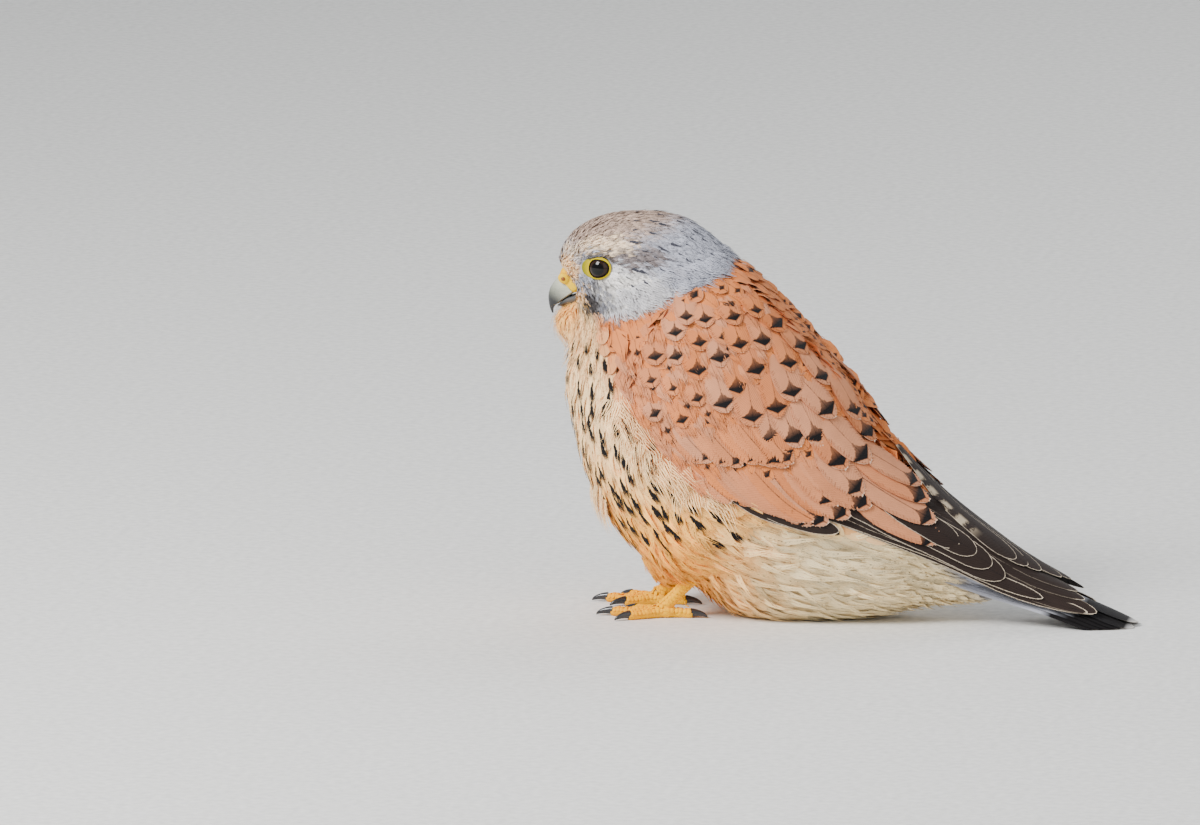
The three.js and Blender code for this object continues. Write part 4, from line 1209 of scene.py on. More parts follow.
@dataclass
class Skin:
    """The one skin under the feathers, from the forehead to the tail's root and down the thighs."""

    markings: Markings
    inset: float = 3.2
    head_inset: float = 1.7
    face_inset: float = 1.4
    thigh_inset: float = 2.2
    wing_inset: tuple[float, float] = (0.8, 3)
    voxel: float = 1.3
    smoothing: int = 7
    # The shade factor darkens the skin's tone: painted shade, so that the skin in the gaps between feathers
    # looks shaded.
    shade: float = 0.8
    plain_place: Triple = (3, 30, 3)
    chin: tuple[Triple, Triple] = ((-120.5, 0, 134.5), (13.5, 12.5, 10.5))
    cheeks: tuple[tuple[Triple, Triple, float], ...] = (
        ((-110, 13.8, 169), (13, 5.6, 4.6), 0.1), ((-104, 9, 144), (20, 12.5, 17), 0.2),
    )
    thighs: dict[str, Rows] = field(default_factory=lambda: {
        "left": (
            (68, -48, 27, 14, 9), (58, -52, 26, 25, 18.5), (43, -57, 24.5, 27, 19.5),
            (30, -63, 21, 20, 15.5), (22, -66.5, 18, 11, 10), (18.5, -66.5, 17, 5, 5),
        ),
        "right": (
            (64, -52, 27, 14, 9), (53, -58, 26, 26, 18.5), (36, -69, 23, 26, 18.5), (22, -79, 18.5, 18, 14),
            (13, -83.5, 16, 8.5, 8), (9.4, -83.5, 16, 5, 5),
        ),
    })

    def trunk(self) -> Shape:
        """The trunk from under the crown to the tail's root.

        Returns:
            The closed form.
        """
        along = np.linspace(-200, 36, 80)[:, None]
        angle = np.linspace(0, FULL_TURN, 72, endpoint=False)[None]
        return Shape.loft(TRUNK.point(along + 0 * angle, angle + 0 * along, 1, -self.inset))

    def head_rings(self, inset: float) -> np.ndarray:
        """Rings of the head.

        Args:
            inset: how far they are drawn in, in mm.
        Returns:
            Array of rings, points and coordinates.
        """
        at = np.linspace(HEAD[0][0], HEAD[-1][0], 40)
        s = between(HEAD, at)
        angle = np.linspace(0, FULL_TURN, 64, endpoint=False)
        middle = s[:, 0] - 0.46 * (s[:, 0] - s[:, 1])
        sine = np.sin(angle)[None]
        reach = np.where(sine > 0, (s[:, 0] - middle)[:, None], (middle - s[:, 1])[:, None]) - inset
        z = middle[:, None] + np.maximum(reach, 0.6) * full(sine)
        y = np.maximum(s[:, 2] - inset, 0.6)[:, None] * full(np.cos(angle))[None]
        x = at[:, None] + inset * 0.5 + s[:, 3][:, None] * np.maximum(160 - z, 0)
        return np.stack([x, y, z], -1)

    def face(self, inset: float) -> list[Shape]:
        """The soft chin, the brows over the eyes and full cheeks.

        Args:
            inset: how far they are drawn in, in mm.
        Returns:
            The forms.
        """
        middle, reach = self.chin
        forms = [Shape.ball(middle, np.array(reach) - inset)]
        for side in SIDES.values():
            for (x, y, z), reach, turn in self.cheeks:
                forms.append(Shape.ball((x, side * y, z), np.array(reach) - inset, turn))
        return forms

    def wing_bed(self, side: float) -> Shape:
        """The wing's flesh against the trunk.

        Args:
            side: 1 for the right wing, -1 for the left one.
        Returns:
            The closed form.
        """
        along = np.linspace(-158, 30, 40)
        low = WINGS.angle(along, between(WING_LOW, along)[:, 0] + 4)
        high = math.radians(76)
        spread = np.sqrt(np.clip(1 - (1 - np.clip((along + 162) / 30, 0, 1)) ** 2, 0.02, 1))
        half = (high - low) / 2 * spread
        share = np.linspace(-1, 1, 16)
        angle = ((low + high) / 2)[:, None] + half[:, None] * share
        there = along[:, None] + 0 * angle
        outer = WINGS.point(there, angle, side, -self.inset - self.wing_inset[0])
        inner = TRUNK.point(there, angle, side, -self.inset - self.wing_inset[1])[:, ::-1]
        return Shape.loft(np.concatenate([outer, inner], 1))

    def thigh(self, side: str) -> Shape:
        """The feathered thigh without its feathers.

        Args:
            side: left or right. Its stations are height, place ahead and aside, half length and half width.
        Returns:
            The closed form.
        """
        table = np.array(self.thighs[side])
        rings = between(np.column_stack([np.arange(len(table)), table]), np.linspace(0, len(table) - 1, 20))
        turn = np.linspace(0, FULL_TURN, 32, endpoint=False)
        long, wide = np.maximum(rings[:, 3:5] - self.thigh_inset, 2.8).T
        x = rings[:, 1][:, None] + long[:, None] * np.cos(turn)
        y = SIDES[side] * rings[:, 2][:, None] + wide[:, None] * np.sin(turn)
        return Shape.loft(np.stack([x, y, rings[:, 0][:, None] + 0 * x], -1))

    def build(self, material: bpy.types.Material) -> tuple[bpy.types.Object, Shape]:
        """Makes the skin.

        Args:
            material: the plumage finish, so that gaps in the coat show the same marks.
        Returns:
            The piece and its surface in mm.
        """
        forms = [self.trunk(), Shape.loft(self.head_rings(self.head_inset)), *self.face(self.face_inset)]
        forms += [self.wing_bed(s) for s in SIDES.values()] + [self.thigh(s) for s in SIDES]
        shape = fused(forms, self.voxel, self.smoothing)
        piece = make_object("skin", shape)
        zero = np.zeros_like(shape.points)
        # The plumage tones on the skin, darkened by the shade factor: painted shade in the gaps of the
        # coat.
        set_values(piece, "tone", self.markings.tone(shape.points) * self.shade)
        set_values(piece, "place", zero + self.plain_place)
        set_values(piece, "mark", zero)
        set_values(piece, "web", zero)
        piece.data.materials.append(material)
        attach(piece, Body.ROOT.value)
        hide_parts("head", "neck", "torso", "rump", "thigh_left", "thigh_right")
        log.info("skin: %d triangles", len(shape.faces))
        return piece, shape


@dataclass(frozen=True)
class Down:
    """One kind of small feather: where it stands, what it is like and how it lies.

    Gap is the least distance of its roots. Size is length and half width, and lift is the height at root,
    middle and tip, all in mm. Sown, drawn and seed start the random draws of its roots, barbs and lie.
    """

    gap: float
    sown: int
    barbs: int
    drawn: int
    wide: float
    splay: float
    rough: float
    size: tuple[float, float]
    lift: Triple
    seed: int
    spread: float
    vary: float
    camber: float

    def pattern(self) -> Pattern:
        """The feather's shape."""
        return Pattern.barbs(self.barbs, self.drawn, self.wide, self.splay, self.rough)


@dataclass
class Coat:
    """The small feathers of the head, breast, belly, thighs and back.

    The hems are where the thighs' feathers end. Feathers grow to their full size from the throat's upper to
    its lower height, and along the trunk from the shoulder's first place to its last. Between the heights
    of low they get longer. A layer of the head is given by how rough its barbs are and by its seed.
    """

    ground: Ground
    markings: Markings
    lie: Lie
    material: bpy.types.Material
    hems: tuple[Triple, ...] = ((-66.5, -17, 19.5), (-83.5, 16, 9.4))
    throat: tuple[float, float] = (150, 118)
    low: tuple[float, float] = (75, 40)
    shoulder: tuple[float, float] = (-150, -110)
    eye_gap: float = 7.4
    bare_skin: Triple = (-118.6, 12.5, 161.4)
    bare_gap: float = 4.2
    hanging_tuft: Triple = (-112, -14, 62)
    head_layers: tuple[tuple[float, int], ...] = ((0.1, 3), (0.14, 5), (0.18, 8))
    hair: Down = Down(1.35, 11, 5, 0, 0.3, 0.7, 0.1, (7.7, 1.22), (-0.3, 0.75, 1.0), 0, 0.14, 0.1, 0.15)
    hood_edge: Down = Down(
        1.9, 14, 7, 15, 0.14, 0.8, 0.2, (11.5, 2.4), (-0.2, 2.2, 3.6), 16, 0.16, 0.1, 0.3
    )
    shafts: Down = Down(4.4, 17, 3, 18, 0.5, 0.3, 0.1, (6.0, 0.62), (0.9, 1.5, 1.95), 19, 0.08, 0.1, 0.05)
    breast: Down = Down(4.0, 21, 11, 41, 0.13, 0.62, 0.1, (18, 4.2), (-0.6, 2.2, 3.1), 32, 0.12, 0.1, 0.6)
    wisps: Down = Down(3.1, 22, 5, 43, 0.16, 0.8, 0.2, (15, 2.4), (0, 2.2, 3.7), 33, 0.2, 0.15, 0.4)
    streaks: Down = Down(6.3, 23, 15, 47, 0.1, 0.5, 0.05, (20, 4.2), (-0.4, 3.2, 4.1), 34, 0.1, 0.05, 0.5)
    fringe: Down = Down(5.0, 24, 15, 48, 0.075, 0.22, 0.16, (24, 4.6), (0, 4.0, 5.6), 35, 0.34, 0.2, 0.4)
    flank: Down = Down(2.6, 25, 9, 49, 0.08, 0.9, 0.25, (19, 3.6), (0, 6.2, 9.2), 36, 0.45, 0.14, 0.4)
    tuft: Down = Down(1.6, 26, 9, 45, 0.09, 0.8, 0.2, (19, 2.6), (0, 5.0, 8.5), 37, 0.2, 0.12, 0.4)
    chin: Down = Down(2.4, 27, 5, 46, 0.1, 0.9, 0.25, (12, 1.7), (0, 3.0, 5.6), 38, 0.34, 0.13, 0.3)
    throat_wisps: tuple[float, int, float] = (2.3, 28, 118)

    def home(self, roots: np.ndarray) -> np.ndarray:
        """Places of roots on an unwrap of the skin.

        Args:
            roots: where the feathers start.
        Returns:
            Places on the map: round the trunk and along it.
        """
        along, across = to_trunk(roots)
        turn = np.arctan2(across - 30, roots[:, 1]) / FULL_TURN + 0.5
        return np.stack([turn * 0.98 + 0.01, np.clip((along + 215) / 290, 0.01, 0.99)], 1)

    def batch(
        self, pattern: Pattern, roots: np.ndarray, size: tuple[float, float], lift: Sequence[float],
        seed: int, spread: float, vary: float, camber: float, mark: Sequence[float] = (0, 0, 0),
        scale: np.ndarray | None = None, web: Sequence[float] = (0, 0),
    ) -> Batch:
        """Lays one kind of feather at its roots.

        Args:
            pattern: its shape.
            roots: where the feathers start.
            size: length and half width in mm.
            lift: height at root, middle and tip in mm.
            seed: start of the random draws.
            spread: how much directions differ, in radians.
            vary: how much brightness differs.
            camber: droop of the edges in mm.
            mark: streak width, spot size and strength of the rim.
            scale: size of each feather against the usual one.
            web: strengths of the bars and the shaft.
        Returns:
            The batch.
        """
        rng = np.random.default_rng(seed)
        count = len(roots)
        scale = np.ones(count) if scale is None else scale
        along = to_trunk(roots)[0]
        shank = np.min([np.linalg.norm(roots - hem, axis=1) for hem in self.hems], axis=0)
        under_tail = ease(2, 32, roots[:, 0]) * ease(60, 40, roots[:, 2])
        scale = scale * rise(0.4, 6, 30, shank) * (1 - 0.6 * under_tail)
        tucked = along > -75
        low = rise(0.35, 3, 20, self.markings.under_wing(roots) + 40 * ease(-70, -100, along))
        length = size[0] * scale * rng.uniform(0.85, 1.15, count)
        half = size[1] * scale * rng.uniform(0.9, 1.1, count)
        laid = Laid.on_ground(self.ground, roots, self.lie, length, half, spread, seed)
        lifts = np.array(lift)[None] * (0.55 + 0.45 * scale[:, None])
        lifts = (lifts + rng.normal(0, 0.12, (count, 1)) * (0, 0.6, 1)) * np.where(tucked, low, 1)[:, None]
        places = laid.fill(pattern, lifts, camber)
        at = laid.middle[:, 2]
        return Batch(
            pattern, laid, places, self.markings.tone(at), np.tile(mark, (count, 1)).astype(float),
            np.column_stack([np.tile(web, (count, 1)), rng.normal(0, vary, count)]), self.home(roots),
        )

    def sown(self, kind: Down, keep: np.ndarray) -> np.ndarray:
        """Roots of one kind on the kept points of the skin."""
        return self.ground.sites(kind.gap, keep, kind.sown)

    def grown(self, kind: Down, roots: np.ndarray, scale: np.ndarray | None = None) -> Batch:
        """Lays one kind at its roots, each feather at its scale."""
        return self.batch(
            kind.pattern(), roots, kind.size, kind.lift, kind.seed, kind.spread, kind.vary, kind.camber,
            scale=scale,
        )

    def clear_of_face(self, roots: np.ndarray) -> np.ndarray:
        """Which roots stay clear of the eyes and the bill.

        Args:
            roots: where feathers start.
        Returns:
            True for each that may stay.
        """
        place = one_side(roots)
        eye = np.linalg.norm((place - EYE) / (1, 0.7, 0.92), axis=1) > self.eye_gap
        bare = np.linalg.norm((place - self.bare_skin) / (1, 1, 0.9), axis=1) > self.bare_gap
        bill = (place[:, 0] > -128.5) | (place[:, 2] > 161.5) | (place[:, 2] < 141)
        return eye & bare & bill

    def head(self) -> list[bpy.types.Object]:
        """Fine, hair-like feathers of the head in three layers, smallest at the bill.

        Returns:
            A piece for each layer.
        """
        x, _, z = self.ground.shape.points.T
        roots = self.sown(self.hair, (z > 126) & (x < -40))
        roots = roots[self.clear_of_face(roots)]
        size = 0.5 + 0.65 * ease(-128, -85, roots[:, 0])
        crown = ease(165, 175, roots[:, 2]) * ease(-72, -86, roots[:, 0])
        nape = ease(-92, -74, roots[:, 0])
        pieces = []
        for layer, (rough, seed) in enumerate(self.head_layers):
            rng = np.random.default_rng(seed)
            shift = rng.normal(0, 0.5, roots.shape)
            lift = np.array(self.hair.lift) + np.array((0, 0.12, 0.16)) * layer
            kind = replace(self.hair, drawn=seed, rough=rough, lift=lift, seed=seed)
            made = self.grown(kind, roots + shift, size)
            made.tone = self.markings.tone(made.laid.middle[:, 2] + rng.normal(0, 1.5, roots.shape))
            streak = rng.normal(0, 1, len(roots))
            made.web[:, 2] = streak * (0.05 + 0.14 * crown + 0.14 * (1 - nape) * (1 - crown))
            thin_dark = (rng.random(len(roots)) < 0.06 - 0.02 * nape) & (crown < 0.9)
            made.web[thin_dark, 2] = -0.62
            pieces.append(feather_piece(f"coat_head_{layer}", [made], self.material))
        return pieces

    def hem_of_hood(self) -> bpy.types.Object:
        """The hood's ragged edge, and dark shafts on the nape.

        Returns:
            The piece.
        """
        points = self.ground.shape.points
        x, hood = points[:, 0], self.markings.hood
        edge = (hood(points - (0, 0, 5)) > 0.5) & (hood(points - (0, 0, 13)) < 0.9) & (x > -112)
        sites = self.sown(self.hood_edge, edge)
        made = self.grown(
            self.hood_edge, sites, rise(0.35, -114, -96, sites[:, 0]) * rise(
                0.55, 6, 15, np.abs(sites[:, 1])
            )
        )
        made.tone = 0.55 * self.markings.tone(sites + (-4, 0, 2)) + 0.45 * Tone.NAPE.colour()
        strokes = self.sown(self.shafts, (hood(points) > 0.9) & (x > -99) & (x < -50))
        shafts = self.grown(
            self.shafts, strokes, np.random.default_rng(20).uniform(0.5, 1.25, len(strokes))
        )
        shafts.tone = np.tile(Tone.SHAFT.colour(), (len(strokes), 1))
        return feather_piece("coat_hood_edge", [made, shafts], self.material)

    def soft(self) -> list[bpy.types.Object]:
        """The loose feathers of the throat, breast, flanks, belly and under the tail.

        Returns:
            The pieces.
        """
        points = self.ground.shape.points
        x, _, z = points.T
        mantle = self.markings.mantle(one_side(points))
        hood = self.markings.hood(points)
        along, across = to_trunk(points)
        folded = (across > between(WING_LOW, along)[:, 0] + 1) & (along > -95)
        front = (mantle < 0.6) & (hood < 0.75) & (z > 3) & ~folded
        sites = self.sown(self.breast, front)
        plain = sites[sites[:, 2] < 128]
        under = self.batch(
            Pattern.vane(6, 5, 0.3, 0.6), plain, (17, 4.4), (-0.6, 1.6, 2.6), 31, 0.08, 0.05, 0.6,
            scale=rise(0.5, *self.throat, plain[:, 2]),
        )
        scale = rise(0.5, *self.throat, sites[:, 2]) * (1 + 0.25 * ease(*self.low, sites[:, 2]))
        over = self.grown(self.breast, sites, scale)
        gap, seed, height = self.throat_wisps
        more = self.ground.sites(gap, front & (z > height), seed)
        wisps = np.concatenate([self.sown(self.wisps, front), more])
        thin = self.grown(
            self.wisps, wisps, rise(0.45, 150, 115, wisps[:, 2]) + 0.2 * ease(*self.low, wisps[:, 2])
        )
        marked = front & (mantle < 0.5) & (hood < 0.4) & (z > 48) & (z < 133) & (x < -44)
        streaks = self.sown(self.streaks, marked)
        spotted = self.grown(self.streaks, streaks, rise(0.55, 142, 110, streaks[:, 2]))
        luck = np.random.default_rng(9).random(len(streaks))
        dark = 1.05 + 0.8 * ease(10, 36, np.abs(streaks[:, 1])) + 0.5 * luck
        spotted.mark[:, 0] = np.where(luck < 0.1, 0, dark)
        loose = self.sown(self.fringe, front & (z < 60) & (x > -92))
        fringe = self.grown(self.fringe, loose, rise(0.75, 0, 30, np.abs(loose[:, 1])))
        edge = (np.abs(mantle - 0.5) < 0.42) & (along > -150) & (along < -84) & (across < 12)
        flank = self.grown(self.flank, self.sown(self.flank, edge))
        flank.tone = flank.tone * 0.3 + Tone.BREAST.colour() * 0.7
        flank.mark[:, 0] = np.where(np.random.default_rng(39).random(len(flank.mark)) < 0.16, 1.7, 0)
        near_tuft = np.linalg.norm((points - self.hanging_tuft) / (1, 1, 0.8), axis=1) < 8
        tuft = self.grown(self.tuft, self.sown(self.tuft, near_tuft & front))
        tuft.tone = np.tile(Tone.BREAST.colour(), (len(tuft.mark), 1))
        hairs = self.sown(self.chin, front & (z > 122) & (z < 146) & (x < -106))
        chin = self.grown(self.chin, hairs[self.clear_of_face(hairs)])
        pieces = {
            "down": [under], "breast": [over], "wisps": [thin], "streaks": [spotted],
            "fringe": [fringe, flank, tuft, chin],
        }
        return [feather_piece(f"coat_{name}", batches, self.material) for name, batches in pieces.items()]

    def back(self) -> list[bpy.types.Object]:
        """The feathers of the mantle and back between the wings.

        Returns:
            The one piece.
        """
        points = self.ground.shape.points
        along = to_trunk(points)[0]
        back = (self.markings.mantle(points) > 0.3) & (self.markings.hood(points) < 0.7) & (along < -20)
        batches = []
        for ridge, lift, spots in ((False, (-0.4, 2.8, 3.8), 0.22), (True, (-0.4, 3.8, 5.2), 0.5)):
            part = back & ((np.abs(points[:, 1]) < 13) == ridge)
            sites = self.ground.sites(4.6, part, 51)
            rng = np.random.default_rng(54)
            made = self.batch(
                Pattern.vane(7, 5, 0.25, 0.45), sites, (17, 5.8), lift, 52, 0.06, 0.06, 0.5,
                scale=rise(0.72, *self.shoulder, to_trunk(sites)[0]), mark=(0, 0, 0.15), web=(0, 0.25),
            )
            spotted = rng.random(len(sites)) < spots
            made.mark[:, 1] = np.where(spotted, rng.uniform(1.2, 2.6, len(sites)), 0)
            wisps = self.ground.sites(4.0, part, 53)
            over = (0, lift[1] + 0.3, lift[2] + 0.3)
            thin = self.batch(
                Pattern.barbs(7, 55, 0.07, 0.85, 0.2), wisps, (13, 3.6), over, 56, 0.12, 0.08, 0.4,
                scale=rise(0.6, *self.shoulder, to_trunk(wisps)[0]),
            )
            batches += [made, thin]
        return [feather_piece("coat_mantle", batches, self.material)]

    def build(self) -> list[bpy.types.Object]:
        """Makes every piece of the coat."""
        return [*self.head(), self.hem_of_hood(), *self.soft(), *self.back()]


@dataclass(frozen=True)
class Tract:
    """A row of large feathers.

    First and last are the root and tip of its lowest and its highest feather, along and across the trunk.
    Half is half a feather's width, and lift is its height at root, middle and tip, all in mm.
    """

    count: int
    first: tuple[tuple[float, float], tuple[float, float]]
    last: tuple[tuple[float, float], tuple[float, float]]
    half: float
    lift: Triple
    tone: Tone = Tone.MANTLE
    spot: float = 0
    rim: float = 0.5
    bar: float = 0
    shaft: float = 0.5
    tilt: float = 0.8
    tip: float = 0.62


@dataclass(frozen=True)
class Spotted:
    """Feathers with a dark spot each: where the spots are, and the feathers' length and half width."""

    spots: tuple[tuple[float, float], ...]
    length: float
    half: float
    size: float
    lift: Triple
    slant: float = -0.3
    rim: float = 0.15
    tilt: float = 0.5
    tip: float = 0.5


@dataclass
class Wing:
    """A folded wing: flight feathers, their coverts and the scapulars over them."""

    side: str
    material: bpy.types.Material
    markings: Markings
    inset: float = -1.0
    flight: tuple[Tract, ...] = (
        Tract(
            2, ((-46, 32), (71, 93.5)), ((-44, 35), (51, 83.4)), 3.0, (-1.6, -0.9, -0.4),
            tone=Tone.FLIGHT, rim=1.8, shaft=0.1, tilt=0.5, tip=0.8,
        ),
        Tract(
            6, ((-46, 36), (36, 75.5)), ((-44, 42), (16, 68)), 3.4, (-1.1, -0.6, -0.2),
            tone=Tone.FLIGHT, rim=1.8, shaft=0.1, tilt=0.4, tip=0.74,
        ),
        Tract(
            4, ((-40, 46), (34, 77)), ((-48, 60), (8, 72)), 6.6, (-0.8, -0.1, 0.3),
            tone=Tone.FLIGHT, rim=1.7, bar=0.3, shaft=0.2, tilt=0.7, tip=0.78,
        ),
        Tract(
            4, ((-84, 4.5), (-40, 28.4)), ((-80, 10), (-34, 34.6)), 4.6, (-1.2, -0.3, 0.3),
            tone=Tone.FLIGHT, rim=1.7, shaft=0.1, tilt=0.7,
        ),
    )
    over_back: dict[str, Tract] = field(default_factory=lambda: {
        "left": Tract(
            5, ((-34, 58), (73, 97)), ((-40, 68), (44, 92)), 5.0, (-1.6, -1.4, -0.9),
            tone=Tone.FLIGHT, rim=1.2, bar=0.5, shaft=0.1, tilt=0.3, tip=0.74,
        ),
        "right": Tract(
            6, ((-40, 62), (62, 94)), ((-44, 76), (30, 92)), 6.4, (-1.2, -0.5, 0.1),
            tone=Tone.FLIGHT, rim=1.7, bar=1.0, shaft=0.2, tilt=0.5, tip=0.74,
        ),
    })
    coverts: tuple[Tract, ...] = (
        Tract(9, ((-112, 2), (-80, 5)), ((-90, 24), (-44, 29)), 5.0, (-0.8, 0.4, 0.8), rim=0.4, shaft=0.4),
        Tract(
            6, ((-88, 28), (-42, 30)), ((-72, 47), (-31, 53)), 6.6, (-0.8, 0.5, 1.0),
            spot=4.2, rim=0.8, tip=0.52,
        ),
        Tract(
            4, ((-52, 52), (2, 66.5)), ((-62, 66), (-24, 74)), 7.8, (-0.5, 0.5, 1.0),
            spot=5.0, rim=0.9, tip=0.55,
        ),
        Tract(
            8, ((-124, 6), (-97, 8)), ((-102, 40), (-70, 40)), 5.4, (-0.6, 0.7, 1.2),
            spot=2.4, shaft=0.4, tip=0.5,
        ),
    )
    scapulars: tuple[Spotted, ...] = (
        Spotted(
            ((-47, 44), (-43, 54), (-52, 64), (-57, 56), (-58, 70)), 38, 7.8, 4.5, (-0.6, 0.8, 1.3),
            slant=-0.05, rim=0.75,
        ),
        Spotted(
            ((-78, 48), (-72, 55), (-78, 65), (-75, 38), (-70, 71)), 32, 7.6, 4.3, (-0.6, 0.9, 1.4),
            slant=-0.2, rim=0.6,
        ),
        Spotted(
            ((-84, 40), (-98, 40), (-95, 59), (-91, 71), (-94, 50)), 27, 7.4, 4.1, (-0.6, 1.0, 1.5),
            slant=-0.45,
        ),
        Spotted(
            ((-112, 43), (-113, 54), (-106, 65), (-108, 72), (-111, 34)), 24, 7.0, 3.9, (-1.4, 0.7, 1.25),
            slant=-0.5,
        ),
        Spotted(
            ((-130, 34), (-128, 45), (-121, 63), (-127, 55), (-122, 71)), 22, 6.6, 3.5, (-4.0, 0.3, 1.05),
            slant=-0.5,
        ),
        Spotted(
            ((-150, 36), (-146, 50), (-138, 60), (-134, 68)), 20, 6.0, 3.0, (-8.0, -0.5, 1.0),
            slant=-0.4,
        ),
        Spotted(
            ((-141, 30), (-139, 42), (-134, 52), (-147, 22), (-152, 44)), 19, 5.8, 2.6, (-8.0, -0.4, 1.0),
            slant=-0.4,
        ),
        Spotted(
            ((-140, 14), (-131, 20), (-120, 26), (-117, 14), (-127, 6)), 17, 5.4, 2.1, (-4.0, 0.2, 1.0),
        ),
    )
    soft_step: tuple[float, float] = (5.2, 5.0)
    soft_half: float = 4.6
    soft_length: tuple[float, float] = (13, 17)
    soft_spotted: float = 0.16
    rise_over: dict[str, float] = field(default_factory=lambda: {"coverts": 0.6, "scapulars": 0.5})
    fringe_barbs: int = 48
    fringe_lift: float = 0.22
    camber: float = 0.8
    map_grid: int = 16

    def lines(self, roots: np.ndarray, tips: np.ndarray, half: np.ndarray) -> Laid:
        """Lays feathers on the wing.

        Args:
            roots: where they start, along and across the trunk in mm.
            tips: where they end.
            half: half of each one's width in mm.
        Returns:
            The laid feathers.
        """
        share = np.linspace(0, 1, Laid.KNOTS)[None]
        along = roots[:, :1] + (tips[:, :1] - roots[:, :1]) * share
        low, high = WINGS.angle(roots[:, 0], roots[:, 1]), WINGS.angle(tips[:, 0], tips[:, 1])
        angle = low[:, None] + (high - low)[:, None] * share
        side, small = SIDES[self.side], 0.01
        middle = WINGS.point(along, angle, side, self.inset)
        ahead = WINGS.point(along + small, angle, side, self.inset) - middle
        over = WINGS.point(along, angle + small, side, self.inset) - middle
        return Laid.from_lines(middle, unit(np.cross(over, ahead)) * side, half)

    def batch(
        self, laid: Laid, lift: Sequence[float], tone: Tone, mark: Sequence[float], web: Sequence[float],
        tilt: float, seed: int, start: int, tip: float = 0.62, soft: bool = False,
    ) -> Batch:
        """Fills laid feathers with vanes and gives them their marks and a cell each on the export's map.

        Args:
            laid: the feathers' lines.
            lift: height at root, middle and tip in mm, or one row each.
            tone: their colour.
            mark: streak width, spot size and strength of the rim.
            web: strengths of the bars and the shaft.
            tilt: how far the lower edge is pressed down in mm.
            seed: start of the random draws.
            start: the first free cell.
            tip: where a vane begins to close.
            soft: whether they are loose barbs instead of vanes.
        Returns:
            The batch.
        """
        rng = np.random.default_rng(seed)
        count = len(laid.length)
        vane, loose = Pattern.vane(13, 7, 0.26, tip, 0.5), Pattern.barbs(21, seed, 0.085, 0.62, 0.06)
        pattern = loose if soft else vane
        places = laid.fill(pattern, lift, self.camber, -tilt * SIDES[self.side])
        colour = np.tile(tone.colour(), (count, 1))
        if tone is Tone.MANTLE:
            for other, most in ((Tone.MANTLE_DEEP, 0.6), (Tone.MANTLE_GREY, 0.8)):
                blend = rng.uniform(0, most, (count, 1))
                colour = colour * (1 - blend) + other.colour() * blend
        cells = np.arange(start, start + count)
        home = (np.stack([cells % self.map_grid, cells // self.map_grid], 1) + 0.5) / self.map_grid
        marks = np.tile(mark, (count, 1)).astype(float)
        marks[:, 1] *= rng.uniform(0.85, 1.15, count)
        webs = np.column_stack([np.tile(web, (count, 1)), rng.normal(0, 0.05, count)])
        return Batch(pattern, laid, places, colour, marks, webs, home, 1 / self.map_grid, SIDES[self.side])

    def tract(self, row: Tract, seed: int, start: int) -> Batch:
        """The feathers of one row.

        Args:
            row: the row.
            seed: start of the random draws.
            start: the first free cell on the export's map.
        Returns:
            The batch.
        """
        share = np.linspace(0, 1, row.count)[:, None]
        first, last = np.array(row.first), np.array(row.last)
        rng = np.random.default_rng(seed)
        shift = rng.normal(0, 0.9, (row.count, 2))
        roots = first[0] + (last[0] - first[0]) * share + shift
        tips = first[1] + (last[1] - first[1]) * share + shift
        laid = self.lines(roots, tips, np.full(row.count, row.half))
        steps = np.array(row.lift) + np.linspace(0, 0.6, row.count)[:, None]
        mark, web = (0, row.spot, row.rim), (row.bar, row.shaft)
        return self.batch(laid, steps, row.tone, mark, web, row.tilt, seed, start, row.tip)

    def barbed(self, base: Batch, lift: np.ndarray, tilt: float, tip: float, seed: int) -> Batch:
        """The loose barbs that lie over a batch of vanes and break up their outlines.

        Args:
            base: the vanes.
            lift: their height at root, middle and tip in mm, a row each.
            tilt: how far the lower edge is pressed down in mm.
            tip: where the vanes begin to close.
            seed: start of the random draws.
        Returns:
            The batch of barbs.
        """
        aspect = float(base.laid.length.mean() / base.laid.half.mean())
        pattern = Pattern.fringe(self.fringe_barbs, seed, aspect, tip)
        places = base.laid.fill(pattern, lift + self.fringe_lift, self.camber, -tilt * SIDES[self.side])
        return replace(base, pattern=pattern, places=places)

    def cover(self, seed: int, start: int) -> Batch:
        """The soft small feathers of the shoulder, under the spotted ones.

        Args:
            seed: start of the random draws.
            start: the first free cell on the export's map.
        Returns:
            The batch.
        """
        rng = np.random.default_rng(seed)
        along, across = np.meshgrid(
            np.arange(-168, -98, self.soft_step[0]), np.arange(-8, 74, self.soft_step[1])
        )
        along = along + np.arange(along.shape[0])[:, None] % 2 * self.soft_step[0] / 2
        roots = np.column_stack([along.ravel(), across.ravel()]) + rng.normal(0, 0.9, (along.size, 2))
        low = between(WING_LOW, roots[:, 0])[:, 0]
        roots = roots[(roots[:, 1] > low + 1) & (roots[:, 0] < -92 - 0.35 * roots[:, 1])]
        slant = -0.25 * ease(78, 30, roots[:, 1:])
        way = unit(np.concatenate([np.ones((len(roots), 1)), slant + rng.normal(0, 0.08, slant.shape)], 1))
        tips = roots + way * rng.uniform(*self.soft_length, (len(roots), 1))
        starts = self.lines(roots, tips, np.full(len(roots), self.soft_half)).middle[:, 0]
        clear = self.markings.hood(starts) < 0.1
        roots, tips = roots[clear], tips[clear]
        laid = self.lines(roots, tips, np.full(len(roots), self.soft_half))
        front = ease(-140, -160, roots[:, :1])
        steps = np.array((-1.6, 0.5, 1.2)) - front * np.array((6.0, 1.4, 0.4))
        made = self.batch(laid, steps, Tone.MANTLE, (0, 0, 0.2), (0, 0.25), 0.2, seed, start, soft=True)
        spotted = rng.random(len(roots)) < self.soft_spotted
        made.mark[:, 1] = np.where(spotted, rng.uniform(1.1, 2.2, len(roots)), 0)
        return made

